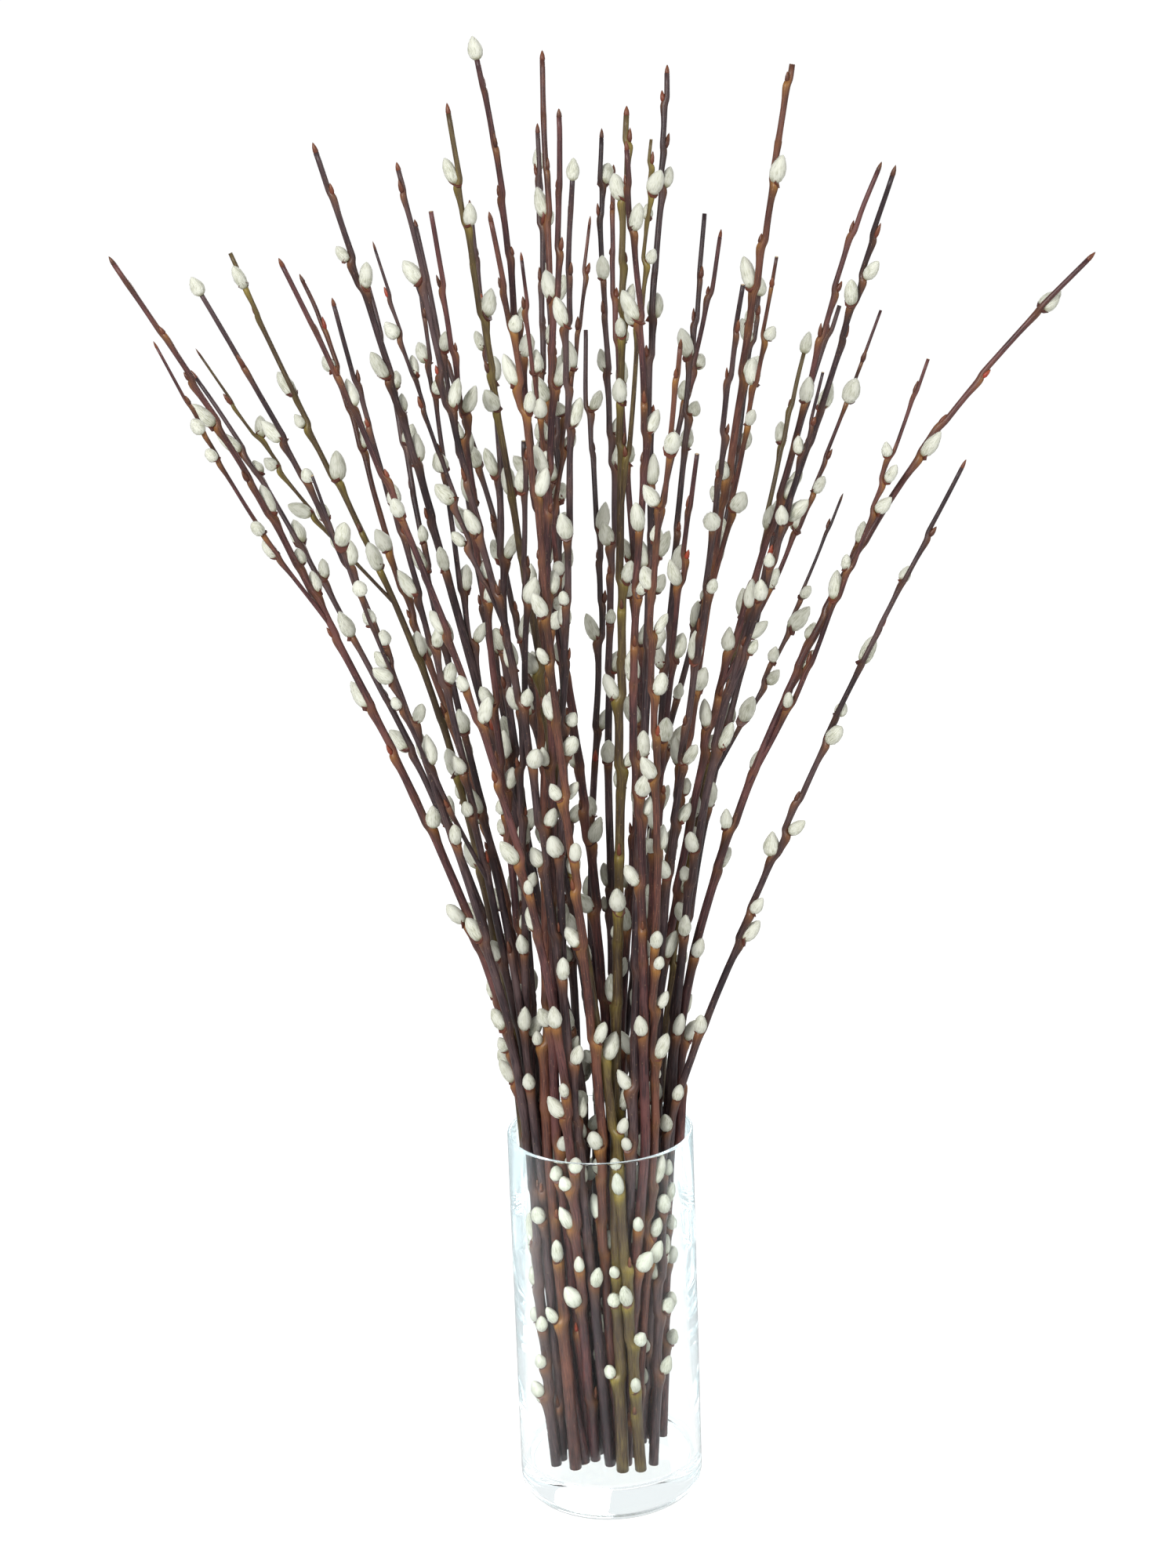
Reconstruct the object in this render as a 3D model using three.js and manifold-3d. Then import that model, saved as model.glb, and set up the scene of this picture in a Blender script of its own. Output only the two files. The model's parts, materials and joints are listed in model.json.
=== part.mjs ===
// Pussy-willow stems standing in a clear cylindrical glass vase.
// Millimetres, +Z up. The origin is the centre of the vase's flat underside; the front of the
// arrangement looks along -Y, and +X is to the right.
import * as THREE from "three";
import { mergeVertices } from "three/addons/utils/BufferGeometryUtils.js";
import Module from "manifold-3d";

const wasm = await Module();
wasm.setup();

// ---------------------------------------------------------------- driving dimensions

const VASE = {
  radius: 59,
  height: 250,
  wall: 2.6,
  base: 24, // thickness of the heavy glass bottom
  corner: 15, // rounding of the bottom's outer edge
  floorCorner: 6, // rounding between the inner floor and the wall
  cornerSteps: 3,
  segments: 40,
};

const GAP = 0.35; // air left between solids that touch in the real thing
const SIDES = 5; // facets round a stem
const LEVELS_IN_VASE = 4;
const FOOT_HEIGHT = VASE.base + GAP;
const LEVEL_STEP = (VASE.height - FOOT_HEIGHT) / LEVELS_IN_VASE;
const TIP_SHARE = 0.4; // a stem's thickness at its tip, as a share of that at its foot
const SHOOT_SHARE = 0.72; // a side shoot's thickness, as a share of its stem's at the fork
const SHOOT_TIP_SHARE = 0.55; // and at its tip, as a share of that
const SHOOT_BOW = 0.85; // below 1, a shoot leaves its stem at a wider angle than it ends with
const LEAST_END_PIECE = 9; // a last section closer to the tip than this is left out

// How the stems stand before they settle.
const STANCE = {
  rimReach: 46, // how far from the axis a stem crosses the rim, at most
  footShare: 0.4, // how far its foot stands to the same side, as a share of that
  footSpread: 19,
  calmReach: 240, // a stem whose tip is further out than this leans straight to its own side
  swing: 150, // degrees by which an inner stem may cross over to another side
  wander: [2, 8], // slow irregular bends
  wavelengths: [260, 520],
};

// How the stems then make way for each other, round by round.
const SETTLING = {
  rounds: 900,
  hardRounds: 260, // the last rounds only push apart, and no longer even out
  smoothing: 0.35,
  recall: 0.012,
  push: 0.55,
  air: GAP * 1.6,
  wallSpare: 1.04,
};

const CATKIN = {
  lengths: [14, 20],
  widths: [8, 10.6],
  spareLean: 9, // degrees away from the stem, beyond the least that keeps its upper half free
  belly: 0.34, // how far up it is widest
  waist: 0.7, // how far up its upper facets begin
  waistShare: 0.72, // its thickness there, as a share of the widest
  seatDepth: 0.2, // how deep its base sits in the stem, as a share of the stem's radius
  spacings: [46, 80],
  pairShare: 0.45, // how often a second catkin stands on the same joint,
  pairTurn: 150, // this far round from the first
  pairRise: 5, // and this far above it
  lowest: 140,
  aboveFork: 28, // the least way up a side shoot to its first catkin
  firstSpread: 60,
  facets: 4,
  turn: 144, // degrees round the stem from one joint to the next
  tries: 8,
  tryTurn: 47,
  reach: 15, // stems that pass further than this above or below a catkin can't touch it
  taper: 0.93, // how much of its radius counts where it lies against something
  clearance: 0.6,
  aboveSection: 2, // a base keeps this far above a section of the stem,
  belowSection: 16, // and this far below the next one
  bareTops: [18, 120],
};

const BARKS = {
  red_brown: { color: 0x5a2a22, roughness: 0.42 },
  purple_brown: { color: 0x3d2426, roughness: 0.46 },
  chestnut: { color: 0x7a4430, roughness: 0.44 },
  olive: { color: 0x6b5a2e, roughness: 0.5 },
};

// Each stem: where its tip is, how late it bends outward (1 is straight), its thickness at the
// foot and its bark. They go round from the left to the right of the bunch.
const STEMS = [
  { tip: [-264, -30, 806], bow: 1.45, girth: 7.6, bark: "red_brown" },
  { tip: [-236, 95, 722], bow: 1.6, girth: 6.6, bark: "purple_brown" },
  { tip: [-207, -60, 792], bow: 1.5, girth: 7.0, bark: "purple_brown" },
  { tip: [-204, 45, 803], bow: 1.7, girth: 6.8, bark: "olive" },
  { tip: [-158, -110, 809], bow: 1.7, girth: 7.0, bark: "red_brown" },
  { tip: [-172, 120, 776], bow: 1.4, girth: 6.8, bark: "chestnut" },
  { tip: [-134, -45, 779], bow: 1.3, girth: 6.6, bark: "purple_brown" },
  { tip: [-128, 70, 782], bow: 1.3, girth: 6.6, bark: "purple_brown" },
  { tip: [-145, 5, 863], bow: 1.2, girth: 8.4, bark: "purple_brown" },
  { tip: [-66, -20, 884], bow: 1.0, girth: 7.4, bark: "olive" },
  { tip: [-97, -80, 857], bow: 1.6, girth: 7.2, bark: "purple_brown" },
  { tip: [-96, 90, 811], bow: 1.2, girth: 6.8, bark: "purple_brown" },
  { tip: [-76, -70, 833], bow: 1.3, girth: 6.8, bark: "red_brown" },
  { tip: [-52, 10, 914], bow: 1.3, girth: 8.0, bark: "red_brown" },
  { tip: [-55, 60, 822], bow: 1.4, girth: 7.8, bark: "purple_brown" },
  { tip: [-42, -110, 830], bow: 1.2, girth: 7.2, bark: "chestnut" },
  { tip: [-18, 110, 863], bow: 1.2, girth: 7.2, bark: "purple_brown" },
  { tip: [-6, -50, 881], bow: 1.3, girth: 7.6, bark: "red_brown" },
  { tip: [-16, 150, 840], bow: 1.3, girth: 6.8, bark: "purple_brown" },
  { tip: [-8, 30, 910], bow: 1.2, girth: 7.8, bark: "chestnut" },
  { tip: [5, -130, 854], bow: 1.5, girth: 7.0, bark: "purple_brown" },
  { tip: [25, 80, 861], bow: 1.2, girth: 7.0, bark: "purple_brown" },
  { tip: [35, -15, 879], bow: 1.1, girth: 8.2, bark: "olive" },
  { tip: [32, 160, 834], bow: 1.4, girth: 7.0, bark: "red_brown" },
  { tip: [39, -85, 864], bow: 1.2, girth: 7.4, bark: "red_brown" },
  { tip: [58, 25, 900], bow: 1.0, girth: 7.8, bark: "purple_brown" },
  { tip: [52, -150, 762], bow: 1.5, girth: 6.8, bark: "chestnut" },
  { tip: [84, 90, 812], bow: 1.1, girth: 7.0, bark: "purple_brown" },
  { tip: [130, -30, 905], bow: 1.1, girth: 8.4, bark: "chestnut" },
  { tip: [99, -100, 790], bow: 1.4, girth: 6.8, bark: "purple_brown" },
  { tip: [126, 130, 758], bow: 1.3, girth: 6.6, bark: "purple_brown" },
  { tip: [184, 10, 841], bow: 1.4, girth: 7.2, bark: "red_brown" },
  { tip: [184, -85, 845], bow: 1.6, girth: 7.2, bark: "purple_brown" },
  { tip: [163, 60, 757], bow: 1.4, girth: 6.6, bark: "purple_brown" },
  { tip: [148, 105, 724], bow: 1.4, girth: 6.4, bark: "olive" },
  { tip: [299, -20, 788], bow: 1.9, girth: 7.8, bark: "red_brown" },
  { tip: [224, -40, 672], bow: 1.15, girth: 6.4, bark: "purple_brown" },
  { tip: [-30, -60, 700], bow: 1.5, girth: 7.0, bark: "purple_brown" },
  { tip: [70, -60, 690], bow: 1.5, girth: 6.8, bark: "red_brown" },
  { tip: [15, 120, 740], bow: 1.4, girth: 6.8, bark: "purple_brown" },
  { tip: [-95, 150, 770], bow: 1.5, girth: 6.8, bark: "purple_brown" },
  { tip: [90, 170, 790], bow: 1.6, girth: 6.8, bark: "red_brown" },
];

// Each side shoot: the stem it grows on, counted from 0, the section it leaves at, and its tip.
const SHOOTS = [
  { on: 0, level: 10, tip: [-236, -70, 762] },
  { on: 3, level: 10, tip: [-222, 20, 745] },
  { on: 6, level: 7, tip: [-150, -95, 690] },
  { on: 8, level: 9, tip: [-92, 30, 790] },
  { on: 10, level: 10, tip: [-110, -60, 812] },
  { on: 13, level: 9, tip: [-30, -25, 800] },
  { on: 19, level: 10, tip: [14, 45, 812] },
  { on: 22, level: 11, tip: [50, -30, 866] },
  { on: 28, level: 10, tip: [118, -60, 800] },
  { on: 31, level: 9, tip: [186, 30, 757] },
  { on: 32, level: 9, tip: [142, -70, 735] },
  { on: 33, level: 8, tip: [160, 40, 640] },
  { on: 35, level: 8, tip: [206, -30, 735] },
];

const SEED = 20817;

// ---------------------------------------------------------------- small helpers

/** Returns a function that gives repeatable fractions from 0 to 1. */
function fractionsFrom(seed) {
  let state = seed;
  return () => {
    state = (state + 0x6d2b79f5) | 0;
    let mixed = Math.imul(state ^ (state >>> 15), 1 | state);
    mixed = (mixed + Math.imul(mixed ^ (mixed >>> 7), 61 | mixed)) ^ mixed;
    return ((mixed ^ (mixed >>> 14)) >>> 0) / 4294967296;
  };
}

/** A value inside a [low, high] range. */
function within([low, high], fraction) {
  return low + (high - low) * fraction;
}

/** The height of a numbered section. */
function levelHeight(level) {
  return FOOT_HEIGHT + level * LEVEL_STEP;
}

/** A closed geometry as a manifold solid. */
function solidOf(geometry) {
  const bare = geometry.clone();
  bare.deleteAttribute("normal");
  bare.deleteAttribute("uv");
  const merged = mergeVertices(bare, 1e-4);
  return new wasm.Manifold(
    new wasm.Mesh({
      numProp: 3,
      vertProperties: new Float32Array(merged.attributes.position.array),
      triVerts: new Uint32Array(merged.index.array),
    }),
  );
}

/** A manifold solid as a geometry. */
function geometryOf(solid) {
  const mesh = solid.getMesh();
  const geometry = new THREE.BufferGeometry();
  geometry.setAttribute("position", new THREE.BufferAttribute(mesh.vertProperties, 3));
  geometry.setIndex(new THREE.BufferAttribute(mesh.triVerts, 1));
  geometry.computeVertexNormals();
  return geometry;
}

// ---------------------------------------------------------------- vase

/** Points of a quarter circle in the lathe's (radius, height) plane, end points included. */
function quarter(centreR, centreZ, radius, fromDegrees) {
  const points = [];
  for (let step = 0; step <= VASE.cornerSteps; step += 1) {
    const angle = THREE.MathUtils.degToRad(fromDegrees + (90 * step) / VASE.cornerSteps);
    points.push(
      new THREE.Vector2(centreR + radius * Math.cos(angle), centreZ + radius * Math.sin(angle)),
    );
  }
  return points;
}

/** The glass cylinder: flat underside, heavy rounded bottom, thin wall with a flat rim. */
function makeVase() {
  const inner = VASE.radius - VASE.wall;
  const outline = [
    new THREE.Vector2(0, 0),
    ...quarter(VASE.radius - VASE.corner, VASE.corner, VASE.corner, -90),
    new THREE.Vector2(VASE.radius, VASE.height),
    new THREE.Vector2(inner, VASE.height),
    ...quarter(inner - VASE.floorCorner, VASE.base + VASE.floorCorner, VASE.floorCorner, -90).reverse(),
    new THREE.Vector2(0, VASE.base),
  ];
  const geometry = new THREE.LatheGeometry(outline, VASE.segments);
  geometry.rotateX(Math.PI / 2);
  const glass = new THREE.MeshStandardMaterial({
    color: 0xe6eef0,
    roughness: 0.04,
    metalness: 0,
    transparent: true,
    opacity: 0.3,
  });
  const mesh = new THREE.Mesh(geometryOf(solidOf(geometry)), glass);
  mesh.name = "vase";
  return mesh;
}

// ---------------------------------------------------------------- courses of the stems

/**
 * The course of a stem before it settles among its neighbours: one (x, y) point per section.
 * It stands inside the vase, leans on the rim on its own side and bends out towards its tip.
 */
function courseOf({ tip, bow, girth }, index, fraction) {
  const [tipX, tipY, tipZ] = tip;
  const reach = Math.hypot(tipX, tipY);
  const freedom = Math.max(0, 1 - reach / STANCE.calmReach);
  const swing = THREE.MathUtils.degToRad(STANCE.swing * (2 * fraction() - 1)) * freedom;
  const rimRadius = STANCE.rimReach * THREE.MathUtils.lerp(1, Math.sqrt(fraction()), freedom);
  const rim = new THREE.Vector2(tipX, tipY).multiplyScalar(rimRadius / reach);
  rim.rotateAround(new THREE.Vector2(), swing);
  const footAngle = 2 * Math.PI * fraction();
  const spread = STANCE.footSpread * Math.sqrt(fraction());
  const foot = rim.clone().multiplyScalar(STANCE.footShare);
  foot.x += spread * Math.cos(footAngle);
  foot.y += spread * Math.sin(footAngle);
  const wander = within(STANCE.wander, fraction());
  const wanderAngle = 2 * Math.PI * fraction();
  const wavelength = within(STANCE.wavelengths, fraction());
  const phase = 2 * Math.PI * fraction();
  const sections = Math.ceil((tipZ - FOOT_HEIGHT) / LEVEL_STEP);
  const points = [];
  for (let level = 0; level <= sections; level += 1) {
    const z = levelHeight(level);
    const inVase = Math.min(1, level / LEVELS_IN_VASE);
    const above = Math.max(0, (z - VASE.height) / (tipZ - VASE.height));
    const point = foot.clone().lerp(rim, inVase);
    point.x += (tipX - rim.x) * above ** bow;
    point.y += (tipY - rim.y) * above ** bow;
    const bend = wander * above * Math.sin((2 * Math.PI * z) / wavelength + phase);
    point.x += bend * Math.cos(wanderAngle);
    point.y += bend * Math.sin(wanderAngle);
    points.push(point);
  }
  return { index, base: 0, points, tipZ, foot: girth / 2, end: (girth / 2) * TIP_SHARE };
}

/** The course of a side shoot: it leaves its stem at a section and curves to its own tip. */
function shootCourseOf({ on, level, tip }, stems) {
  const parent = stems[on];
  const [tipX, tipY, tipZ] = tip;
  const start = parent.points[level];
  const sections = Math.ceil((tipZ - levelHeight(level)) / LEVEL_STEP);
  const points = [];
  for (let step = 0; step <= sections; step += 1) {
    const along = (step * LEVEL_STEP) / (tipZ - levelHeight(level));
    points.push(
      new THREE.Vector2(
        start.x + (tipX - start.x) * along ** SHOOT_BOW,
        start.y + (tipY - start.y) * along ** SHOOT_BOW,
      ),
    );
  }
  const foot = radiusAt(parent, levelHeight(level)) * SHOOT_SHARE;
  return { index: on, parent, base: level, points, tipZ, foot, end: foot * SHOOT_TIP_SHARE };
}

/** A course's radius at a height. */
function radiusAt(course, z) {
  const low = levelHeight(course.base);
  const share = THREE.MathUtils.clamp((z - low) / (course.tipZ - low), 0, 1);
  return course.foot + (course.end - course.foot) * share;
}

/** How much wider a leaning stem is in a level section than across its own axis. */
function slantOf(points, step) {
  const low = points[Math.max(0, step - 1)];
  const high = points[Math.min(points.length - 1, step + 1)];
  const run = Math.hypot(high.x - low.x, high.y - low.y);
  const rise = LEVEL_STEP * (Math.min(points.length - 1, step + 1) - Math.max(0, step - 1));
  return Math.hypot(run, rise) / rise;
}

/** Half the width that a course needs in a level section. */
function roomAt(course, level) {
  const step = level - course.base;
  return radiusAt(course, levelHeight(level)) * slantOf(course.points, step);
}

/** Pushes two courses apart between one section and the next. */
function pushApart(a, b, level) {
  const lowA = a.points[level - a.base];
  const highA = a.points[level + 1 - a.base];
  const lowB = b.points[level - b.base];
  const highB = b.points[level + 1 - b.base];
  const lowX = lowA.x - lowB.x;
  const lowY = lowA.y - lowB.y;
  const runX = highA.x - highB.x - lowX;
  const runY = highA.y - highB.y - lowY;
  const runSquared = runX * runX + runY * runY;
  const where =
    runSquared > 0 ? THREE.MathUtils.clamp(-(lowX * runX + lowY * runY) / runSquared, 0, 1) : 0;
  const nearX = lowX + runX * where;
  const nearY = lowY + runY * where;
  const distance = Math.hypot(nearX, nearY) || 1e-6;
  const room = Math.max(roomAt(a, level), roomAt(a, level + 1));
  const otherRoom = Math.max(roomAt(b, level), roomAt(b, level + 1));
  const missing = room + otherRoom + SETTLING.air - distance;
  if (missing <= 0) return;
  const share = (missing * SETTLING.push) / distance / (where * where + (1 - where) ** 2);
  const pushX = nearX * share * 0.5;
  const pushY = nearY * share * 0.5;
  lowA.x += pushX * (1 - where);
  lowA.y += pushY * (1 - where);
  highA.x += pushX * where;
  highA.y += pushY * where;
  lowB.x -= pushX * (1 - where);
  lowB.y -= pushY * (1 - where);
  highB.x -= pushX * where;
  highB.y -= pushY * where;
}

/** True where a shoot still grows out of its own stem, so the two may meet. */
function growTogether(a, b, level) {
  const fork = a.parent === b ? a : b.parent === a ? b : null;
  return fork !== null && level <= fork.base;
}

/** Keeps a course inside the glass, from its foot to the rim. */
function keepInVase(course) {
  course.points.forEach((point, step) => {
    const level = course.base + step;
    if (level > LEVELS_IN_VASE) return;
    const corner = level === 0 ? VASE.floorCorner : 0;
    const room = SETTLING.air + roomAt(course, level) * SETTLING.wallSpare;
    const most = VASE.radius - VASE.wall - corner - room;
    const radius = Math.hypot(point.x, point.y);
    if (radius > most) point.multiplyScalar(most / radius);
  });
}

/** Evens out how far a course was pushed off its first course, and draws it back a little. */
function evenOut(course, first) {
  const offsets = course.points.map((point, step) => point.clone().sub(first[step]));
  const last = offsets.length - 1;
  offsets.forEach((offset, step) => {
    const below = offsets[Math.max(0, step - 1)];
    const above = offsets[Math.min(last, step + 1)];
    const middle = below.clone().add(above).multiplyScalar(0.5);
    const moved = offset.clone().lerp(middle, SETTLING.smoothing);
    moved.multiplyScalar(1 - SETTLING.recall);
    course.points[step].copy(first[step]).add(moved);
  });
}

/** Lets all courses settle beside each other, so that no stem runs into another or the glass. */
function settle(courses) {
  const firsts = courses.map((course) => course.points.map((point) => point.clone()));
  const pairs = [];
  courses.forEach((a, i) => courses.slice(i + 1).forEach((b) => pairs.push([a, b])));
  for (let round = 0; round < SETTLING.rounds; round += 1) {
    const soft = round < SETTLING.rounds - SETTLING.hardRounds;
    if (soft) courses.forEach((course, i) => evenOut(course, firsts[i]));
    for (const [a, b] of pairs) {
      const from = Math.max(a.base, b.base);
      const to = Math.min(a.base + a.points.length, b.base + b.points.length) - 1;
      for (let level = from; level < to; level += 1) {
        if (!growTogether(a, b, level)) pushApart(a, b, level);
      }
    }
    courses.forEach(keepInVase);
    for (const course of courses) {
      if (course.parent) course.points[0].copy(course.parent.points[course.base]);
    }
  }
}

/** The settled course as 3D section centres, the last one at the tip's height. */
function centresOf(course) {
  const centres = course.points.map(
    (point, step) => new THREE.Vector3(point.x, point.y, levelHeight(course.base + step)),
  );
  const beyond = centres.pop();
  const last = centres[centres.length - 1];
  const tip = last.clone().lerp(beyond, (course.tipZ - last.z) / (beyond.z - last.z));
  if (tip.z - last.z < LEAST_END_PIECE && centres.length > 2) centres.pop();
  centres.push(tip);
  return centres;
}

// ---------------------------------------------------------------- solids of the stems

/** A tapered stem: a cylinder with one row of facets per section, bent along the centres. */
function woodOf(course) {
  const centres = centresOf(course);
  const rows = centres.length - 1;
  const geometry = new THREE.CylinderGeometry(1, 1, rows, SIDES, rows);
  geometry.rotateX(Math.PI / 2);
  geometry.translate(0, 0, rows / 2);
  const position = geometry.attributes.position;
  for (let i = 0; i < position.count; i += 1) {
    const row = Math.round(position.getZ(i));
    const centre = centres[row];
    const lean = centres[Math.min(rows, row + 1)].clone().sub(centres[Math.max(0, row - 1)]);
    const slant = lean.length() / lean.z;
    lean.z = 0;
    lean.normalize();
    const across = new THREE.Vector3(position.getX(i), position.getY(i), 0);
    across.addScaledVector(lean, across.dot(lean) * (slant - 1));
    across.multiplyScalar(radiusAt(course, centre.z));
    position.setXYZ(i, centre.x + across.x, centre.y + across.y, centre.z);
  }
  return solidOf(geometry);
}

/** The point, the direction and the radius of a course at a height. */
function frameAt(course, z) {
  const centres = centresOf(course);
  let row = 0;
  while (row < centres.length - 2 && centres[row + 1].z < z) row += 1;
  const low = centres[row];
  const high = centres[row + 1];
  const point = low.clone().lerp(high, (z - low.z) / (high.z - low.z));
  return { point, along: high.clone().sub(low).normalize(), radius: radiusAt(course, z) };
}

/** A catkin's place on a stem: where it sits, where its tip is, and how thick it is. */
function catkinAt(course, z, angle, fraction) {
  const { point, along, radius } = frameAt(course, z);
  const side = new THREE.Vector3(Math.cos(angle), Math.sin(angle), 0);
  side.addScaledVector(along, -side.dot(along)).normalize();
  const half = within(CATKIN.widths, fraction()) / 2;
  const length = within(CATKIN.lengths, fraction());
  const outward = radius * CATKIN.seatDepth + half * CATKIN.waistShare + GAP;
  const leastLean = Math.asin(outward / (length * CATKIN.waist));
  const lean = leastLean + THREE.MathUtils.degToRad(CATKIN.spareLean * fraction());
  const direction = along.clone().multiplyScalar(Math.cos(lean));
  direction.addScaledVector(side, Math.sin(lean));
  const seat = point.clone().addScaledVector(side, radius * (1 - CATKIN.seatDepth));
  return { seat, tip: seat.clone().addScaledVector(direction, length), radius: half, course };
}

/** The shortest distance between two line segments. */
function segmentDistance(a, b, c, d) {
  const first = b.clone().sub(a);
  const second = d.clone().sub(c);
  const between = a.clone().sub(c);
  const aa = first.lengthSq();
  const bb = second.lengthSq();
  const ab = first.dot(second);
  const determinant = aa * bb - ab * ab;
  let s = 0;
  if (determinant > 1e-9) {
    s = (ab * second.dot(between) - bb * first.dot(between)) / determinant;
    s = THREE.MathUtils.clamp(s, 0, 1);
  }
  const t = THREE.MathUtils.clamp((ab * s + second.dot(between)) / bb, 0, 1);
  s = THREE.MathUtils.clamp((ab * t - first.dot(between)) / aa, 0, 1);
  const near = a.clone().addScaledVector(first, s);
  return near.distanceTo(c.clone().addScaledVector(second, t));
}

/** True if a catkin is clear of the glass, of the other stems and of the other catkins. */
function hasRoom(catkin, courses, catkins) {
  const { seat, tip, radius, course } = catkin;
  if (seat.z < VASE.height + radius) {
    const inner = VASE.radius - VASE.wall - radius - CATKIN.clearance;
    if (Math.hypot(seat.x, seat.y) > inner || Math.hypot(tip.x, tip.y) > inner) return false;
  }
  for (const other of courses) {
    if (other === course) continue;
    const centres = centresOf(other);
    for (let row = 0; row < centres.length - 1; row += 1) {
      const low = centres[row];
      const high = centres[row + 1];
      if (high.z < seat.z - CATKIN.reach || low.z > tip.z + CATKIN.reach) continue;
      const room = radiusAt(other, low.z) + CATKIN.clearance + radius * CATKIN.taper;
      if (segmentDistance(seat, tip, low, high) < room) return false;
    }
  }
  return catkins.every((other) => {
    const apart = segmentDistance(seat, tip, other.seat, other.tip);
    return apart > (radius + other.radius) * CATKIN.taper + CATKIN.clearance;
  });
}

/** The nearest height at or above this one where a catkin's base meets no section of the stem. */
function clearOfSections(z) {
  const above = (z - FOOT_HEIGHT) % LEVEL_STEP;
  if (above < CATKIN.aboveSection) return z + CATKIN.aboveSection - above;
  if (above > LEVEL_STEP - CATKIN.belowSection) return z + LEVEL_STEP - above + CATKIN.aboveSection;
  return z;
}

/** All catkins of a course, from its lowest joint to its bare top. */
function catkinsOf(course, courses, catkins, fraction) {
  const grown = [];
  const start = Math.max(CATKIN.lowest, levelHeight(course.base) + CATKIN.aboveFork);
  const bareTop = within(CATKIN.bareTops, fraction() ** 2);
  let degrees = fraction() * 360;
  let z = start + CATKIN.firstSpread * fraction();
  while (z < course.tipZ - bareTop) {
    z = clearOfSections(z);
    degrees += CATKIN.turn;
    const wanted = fraction() < CATKIN.pairShare ? 2 : 1;
    let found = 0;
    for (let attempt = 0; attempt < CATKIN.tries && found < wanted; attempt += 1) {
      const turned = degrees + found * CATKIN.pairTurn + attempt * CATKIN.tryTurn;
      const angle = THREE.MathUtils.degToRad(turned);
      const catkin = catkinAt(course, z + found * CATKIN.pairRise, angle, fraction);
      if (!hasRoom(catkin, courses, catkins)) continue;
      grown.push(catkin);
      catkins.push(catkin);
      found += 1;
    }
    z += within(CATKIN.spacings, fraction());
  }
  return grown;
}

/** A catkin's solid: a blunt spindle, widest below its middle and pointed at its tip. */
function catkinSolid({ seat, tip, radius }) {
  const direction = tip.clone().sub(seat);
  const length = direction.length();
  const outline = [
    new THREE.Vector2(0, 0),
    new THREE.Vector2(radius, length * CATKIN.belly),
    new THREE.Vector2(radius * CATKIN.waistShare, length * CATKIN.waist),
    new THREE.Vector2(0, length),
  ];
  const geometry = new THREE.LatheGeometry(outline, CATKIN.facets);
  const turn = new THREE.Quaternion().setFromUnitVectors(
    new THREE.Vector3(0, 1, 0),
    direction.normalize(),
  );
  geometry.applyQuaternion(turn);
  geometry.translate(seat.x, seat.y, seat.z);
  return solidOf(geometry);
}

/** One stem with its side shoots and catkins, as a single piece. */
function makeStem(index, courses, grownOn) {
  const own = courses.filter((course) => course.index === index);
  let solid = woodOf(own[0]);
  for (const shoot of own.slice(1)) solid = solid.add(woodOf(shoot));
  for (const course of own) {
    for (const catkin of grownOn.get(course)) solid = solid.add(catkinSolid(catkin));
  }
  const bark = BARKS[STEMS[index].bark];
  const mesh = new THREE.Mesh(
    geometryOf(solid),
    new THREE.MeshStandardMaterial({ ...bark, metalness: 0 }),
  );
  mesh.name = `stem_${String(index + 1).padStart(2, "0")}`;
  return mesh;
}

// ---------------------------------------------------------------- the arrangement

/** The whole arrangement: the vase and every stem standing in it. */
function makeArrangement() {
  const fraction = fractionsFrom(SEED);
  const stems = STEMS.map((stem, index) => courseOf(stem, index, fraction));
  const shoots = SHOOTS.map((shoot) => shootCourseOf(shoot, stems));
  const courses = [...stems, ...shoots];
  settle(courses);
  const catkins = [];
  const grownOn = new Map();
  for (const course of courses) {
    grownOn.set(course, catkinsOf(course, courses, catkins, fraction));
  }
  const group = new THREE.Group();
  group.add(makeVase());
  STEMS.forEach((stem, index) => group.add(makeStem(index, courses, grownOn)));
  return group;
}

export default makeArrangement();
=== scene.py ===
"""Pussy-willow stems in a clear glass cylinder vase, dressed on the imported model.

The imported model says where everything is: the level sections of each stem's solid give the course
and the thickness of its wood, and the spindles on it give the place, the lean and the size of its
catkins. The classes below read those and build the finished bark, buds, catkins and glass on them.
"""

import logging
import math
import random
from dataclasses import dataclass, field
from enum import Enum
from typing import Any

import bmesh
import bpy
from mathutils import Matrix, Vector, noise
from mathutils.kdtree import KDTree
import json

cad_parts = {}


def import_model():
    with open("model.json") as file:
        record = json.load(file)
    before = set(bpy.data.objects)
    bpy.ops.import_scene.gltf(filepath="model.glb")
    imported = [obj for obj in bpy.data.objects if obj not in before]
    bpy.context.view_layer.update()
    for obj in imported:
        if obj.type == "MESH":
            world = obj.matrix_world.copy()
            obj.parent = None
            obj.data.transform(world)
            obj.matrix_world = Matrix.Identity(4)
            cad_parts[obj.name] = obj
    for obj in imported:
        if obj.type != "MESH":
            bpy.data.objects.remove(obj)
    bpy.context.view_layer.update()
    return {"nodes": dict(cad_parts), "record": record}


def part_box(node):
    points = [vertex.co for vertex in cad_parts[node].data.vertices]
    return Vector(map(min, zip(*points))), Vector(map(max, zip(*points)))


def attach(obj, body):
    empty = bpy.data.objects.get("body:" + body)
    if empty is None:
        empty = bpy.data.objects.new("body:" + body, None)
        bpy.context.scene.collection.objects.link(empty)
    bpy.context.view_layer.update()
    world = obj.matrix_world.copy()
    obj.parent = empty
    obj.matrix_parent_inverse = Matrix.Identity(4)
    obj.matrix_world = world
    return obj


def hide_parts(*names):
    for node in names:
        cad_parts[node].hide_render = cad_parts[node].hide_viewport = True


LOG = logging.getLogger("willow")
MM = 0.001
UP = Vector((0.0, 0.0, 1.0))
SEED = 4127


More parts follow.
